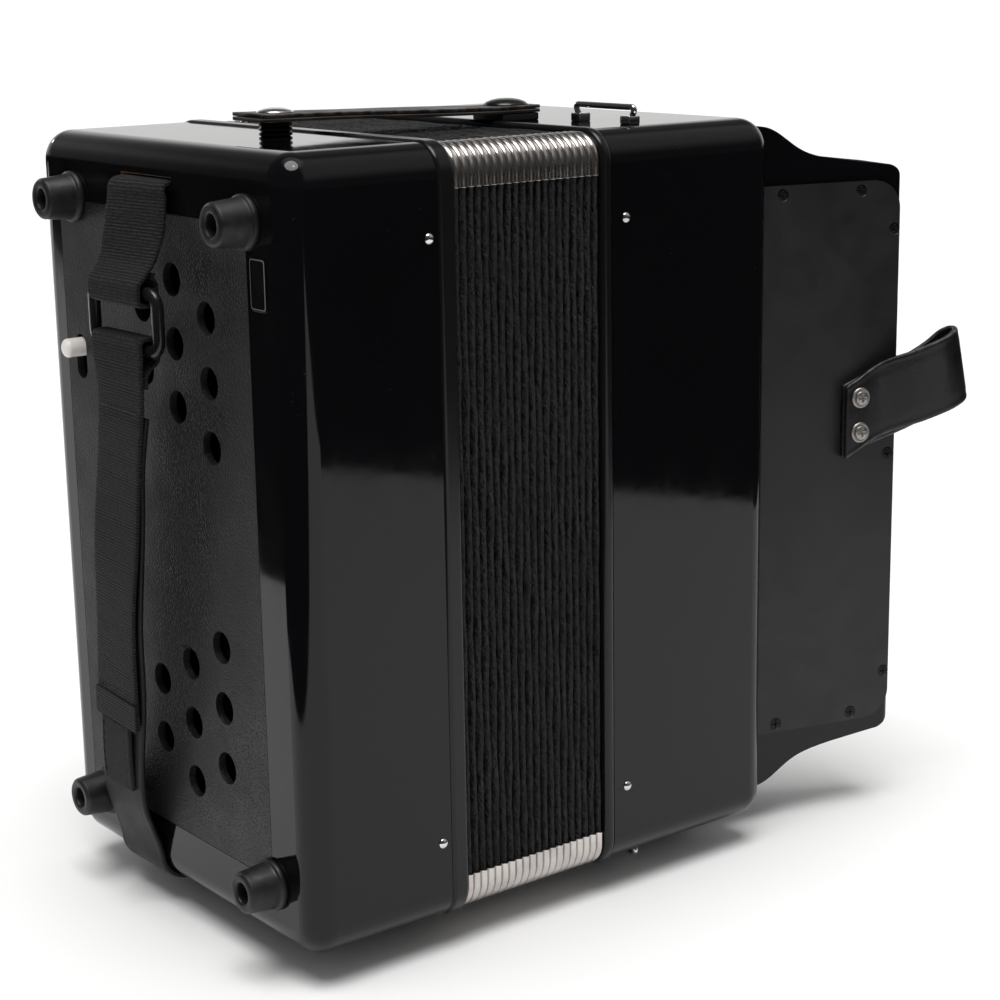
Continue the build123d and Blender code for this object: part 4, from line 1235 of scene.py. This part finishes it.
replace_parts(bracket("top_bracket", 1), "shoulder_brackets")
bracket("bottom_bracket", -1)


# Buttons

front_end = board_point(BOARD_END_W, BOARD_END_THICKNESS, 0)
front_root = Vector((*FRONT_ROOT, 0.0))
front_along = (front_end - front_root).normalized()
front_out = Vector((0, 0, 1)).cross(front_along)
BUTTON_PROFILE = [
    (0.0, BUTTON_PROUD - 0.55), (2.0, BUTTON_PROUD - 0.48), (4.0, BUTTON_PROUD - 0.2),
    (5.0, BUTTON_PROUD), (5.7, BUTTON_PROUD - 0.15), (6.1, BUTTON_PROUD - 0.7),
    (BUTTON_RADIUS, BUTTON_PROUD - 1.6), (BUTTON_RADIUS, -5.8), (7.8, -5.8), (7.8, -7.4), (3.0, -7.4),
]
for row, (s, count) in enumerate(BUTTON_ROWS, 1):
    for i in range(count):
        z = (i - (count - 1) / 2) * BUTTON_PITCH
        base = front_root + front_along * s + Vector((0, 0, z))
        number = f"{row}_{i + 1:02d}"
        button = turned(f"button_{number}_pearl", [(base, front_out)], BUTTON_PROFILE, PEARL)
        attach(button, f"button_{number}")
        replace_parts(button, f"treble_button_{number}")
floor_y = DEPTH - BASS_WELL_DEPTH
BASS_BUTTON_PROFILE = [
    (0.0, 5.55), (2.0, 5.62), (3.4, 5.85), (4.1, 6.0), (4.7, 5.85), (5.1, 5.3), (BASS_BUTTON_RADIUS, 4.6),
    (BASS_BUTTON_RADIUS, -6.9), (0.0, -6.9),
]
for row, x in enumerate(BASS_ROWS_X, 1):
    places = []
    for i in range(BASS_BUTTONS):
        places.append(((x, floor_y, (i - (BASS_BUTTONS - 1) / 2) * BASS_PITCH), (0, 1, 0)))
    buttons = turned(f"bass_buttons_pearl_{row}", places, BASS_BUTTON_PROFILE, PEARL)
    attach(buttons, f"bass_buttons_{row}")
    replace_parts(buttons, f"bass_button_row_{row}")

# Air button: a short pin on its slide
tip = -AIR_PIN_TIP
AIR_PROFILE = [
    (0.0, tip), (2.6, tip), (AIR_PIN_RADIUS, tip - 1.2), (AIR_PIN_RADIUS, -4.2), (0.0, -4.2),
]
air_place = ((0.0, AIR_SLOT_Y, AIR_PIN_Z), (-1, 0, 0))
air_pin = turned("air_pin", [air_place], rounded(AIR_PROFILE, 0.8), AIR_WHITE)
slide = bevelled_box(
    "air_slide",
    (3.6, AIR_SLOT_Y - 5.0, AIR_PIN_Z - 20.0),
    (7.0, AIR_SLOT_Y + 5.0, AIR_PIN_Z + 26.0),
    0.4,
    PLASTIC,
)
for piece in (air_pin, slide):
    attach(piece, "air_button")
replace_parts(air_pin, "air_button")


# Floor, world, lights and camera

FLOOR_REACH = 80.0
FLOOR_LEVEL = -0.0015
TABLE_EDGE = (526.6, -638.2)
TABLE_ALONG = (0.51, 0.86)
TABLE_LENGTH = 3000.0
TABLE_WIDTH = 3500.0
TABLE_LEFT = ((-1150.0, 2550.0), (-290.0, 500.0), (-300.0, -1000.0), (-300.0, -2032.0))


def floor_material(name):
    finish = Finish(name, 0.85)
    cloud = finish.noise(1.5, 3.0)
    tone = finish.remap(cloud, 0.3, 0.7)
    finish.base(finish.colour(tone, (0.9, 0.897, 0.893), (0.93, 0.928, 0.925)))
    finish.rough(finish.remap(cloud, 0.3, 0.7, 0.8, 0.9))
    finish.bump(finish.noise(400.0, 2.0), 0.02, 0.0002)
    return finish.material


def floor_plane(name, corners, material):
    mesh = bpy.data.meshes.new(name)
    mesh.from_pydata(corners, [], [tuple(range(len(corners)))])
    mesh.materials.append(material)
    piece = bpy.data.objects.new(name, mesh)
    bpy.context.scene.collection.objects.link(piece)
    return piece


PALE = floor_material("pale_floor")
floor_height = -HALF_HEIGHT - BASE_FOOT_HEIGHT
far = [TABLE_EDGE[k] + TABLE_ALONG[k] * TABLE_LENGTH for k in (0, 1)]
behind = [far[0] - TABLE_ALONG[1] * TABLE_WIDTH, far[1] + TABLE_ALONG[0] * TABLE_WIDTH]
outline = [far, behind, *TABLE_LEFT]
floor_plane("table_top", [at(x, y, floor_height) for x, y in outline], PALE)
signs = ((-1, -1), (1, -1), (1, 1), (-1, 1))
ground = floor_plane(
    "floor", [(sx * FLOOR_REACH, sy * FLOOR_REACH, FLOOR_LEVEL) for sx, sy in signs], PALE
)
ground.visible_glossy = False

DARK_STUDIO = 0.012
RAY_LEVELS = (("Is Camera Ray", 0.95), ("Is Diffuse Ray", 0.3))
TOWARDS_BACKDROP = (0.6, 0.8, 0.0)

world = bpy.data.worlds.new("studio")
bpy.context.scene.world = world
world.use_nodes = True
tree = world.node_tree


def smooth_share(value, low, high, to_low, to_high):
    node = add_node(
        tree, "ShaderNodeMapRange", Value=value, From_Min=low, From_Max=high, To_Min=to_low,
        To_Max=to_high,
    )
    node.interpolation_type = "SMOOTHSTEP"
    return node.outputs["Result"]


ray = tree.nodes.new("ShaderNodeTexCoord").outputs["Generated"]
direction = add_node(tree, "ShaderNodeSeparateXYZ", Vector=ray)
height = direction.outputs["Z"]
backwards = tree.nodes.new("ShaderNodeVectorMath")
backwards.operation = "DOT_PRODUCT"
tree.links.new(ray, backwards.inputs[0])
backwards.inputs[1].default_value = TOWARDS_BACKDROP
backdrop = smooth_share(backwards.outputs["Value"], 0.35, 0.75, 0.0, 0.84)
backdrop = maths(tree, "MULTIPLY", backdrop, smooth_share(height, 0.3, 0.52, 1.0, 0.12))
zenith = smooth_share(height, 0.84, 0.95, 0.035, 0.7)
softbox = smooth_share(direction.outputs["X"], 0.05, 0.3, 0.0, 0.4)
softbox = maths(tree, "MULTIPLY", softbox, smooth_share(height, 0.2, 0.6, 0.0, 1.0))
softbox = maths(tree, "MULTIPLY", softbox, smooth_share(direction.outputs["Y"], 0.0, 0.3, 1.0, 0.0))
sky = maths(tree, "ADD", maths(tree, "ADD", backdrop, zenith), softbox)
above_floor = smooth_share(height, -0.02, 0.03, 0.0, 1.0)
sky = maths(tree, "MULTIPLY", sky, above_floor)
path = tree.nodes.new("ShaderNodeLightPath")
level = maths(tree, "ADD", sky, DARK_STUDIO)
for kind, least in RAY_LEVELS:
    level = maths(tree, "MAXIMUM", level, maths(tree, "MULTIPLY", path.outputs[kind], least))
tree.links.new(level, tree.nodes["Background"].inputs["Strength"])
tree.nodes["Background"].inputs["Color"].default_value = (1.0, 0.995, 0.99, 1)


def lamp(name, kind, location, target, energy):
    light = bpy.data.lights.new(name, kind)
    light.energy = energy
    holder = bpy.data.objects.new(name, light)
    bpy.context.scene.collection.objects.link(holder)
    holder.location = location
    holder.rotation_euler = (Vector(target) - Vector(location)).to_track_quat("-Z", "Y").to_euler()
    return light


overhead = lamp("overhead_light", "SUN", (-0.35, -0.3, 2.0), (0, 0, 0), 2.5)
overhead.angle = math.radians(40.0)
for name, towards, power in (
    ("corner_light_back", (-0.15, 0.92, 0.37), 1.1),
    ("corner_light_top", (-0.17, -0.24, 0.96), 1.1),
):
    small = lamp(name, "AREA", Vector(towards) * 1.8 + Vector((0, 0, 0.15)), (0, 0, 0.15), power)
    small.shape = "RECTANGLE"
    small.size = small.size_y = 0.14

CAMERA_PLACE = at(-391.934, -615.781, 204.464)
VIEW_RIGHT = Vector((0.78654, -0.61733, -0.01608))
VIEW_UP = Vector((0.15852, 0.17666, 0.97142))
FOCAL_LENGTH = 78.955
SENSOR_WIDTH = 36.0
lens = bpy.data.cameras.new("camera")
lens.lens = FOCAL_LENGTH
lens.sensor_width = SENSOR_WIDTH
camera = bpy.data.objects.new("camera", lens)
bpy.context.scene.collection.objects.link(camera)
view_right = VIEW_RIGHT.normalized()
view_back = view_right.cross(VIEW_UP).normalized()
view_up = view_back.cross(view_right)
facing = Matrix((view_right, view_up, view_back)).transposed().to_4x4()
camera.matrix_world = Matrix.Translation(CAMERA_PLACE) @ facing
bpy.context.scene.camera = camera
bpy.context.scene.view_settings.view_transform = "Standard"
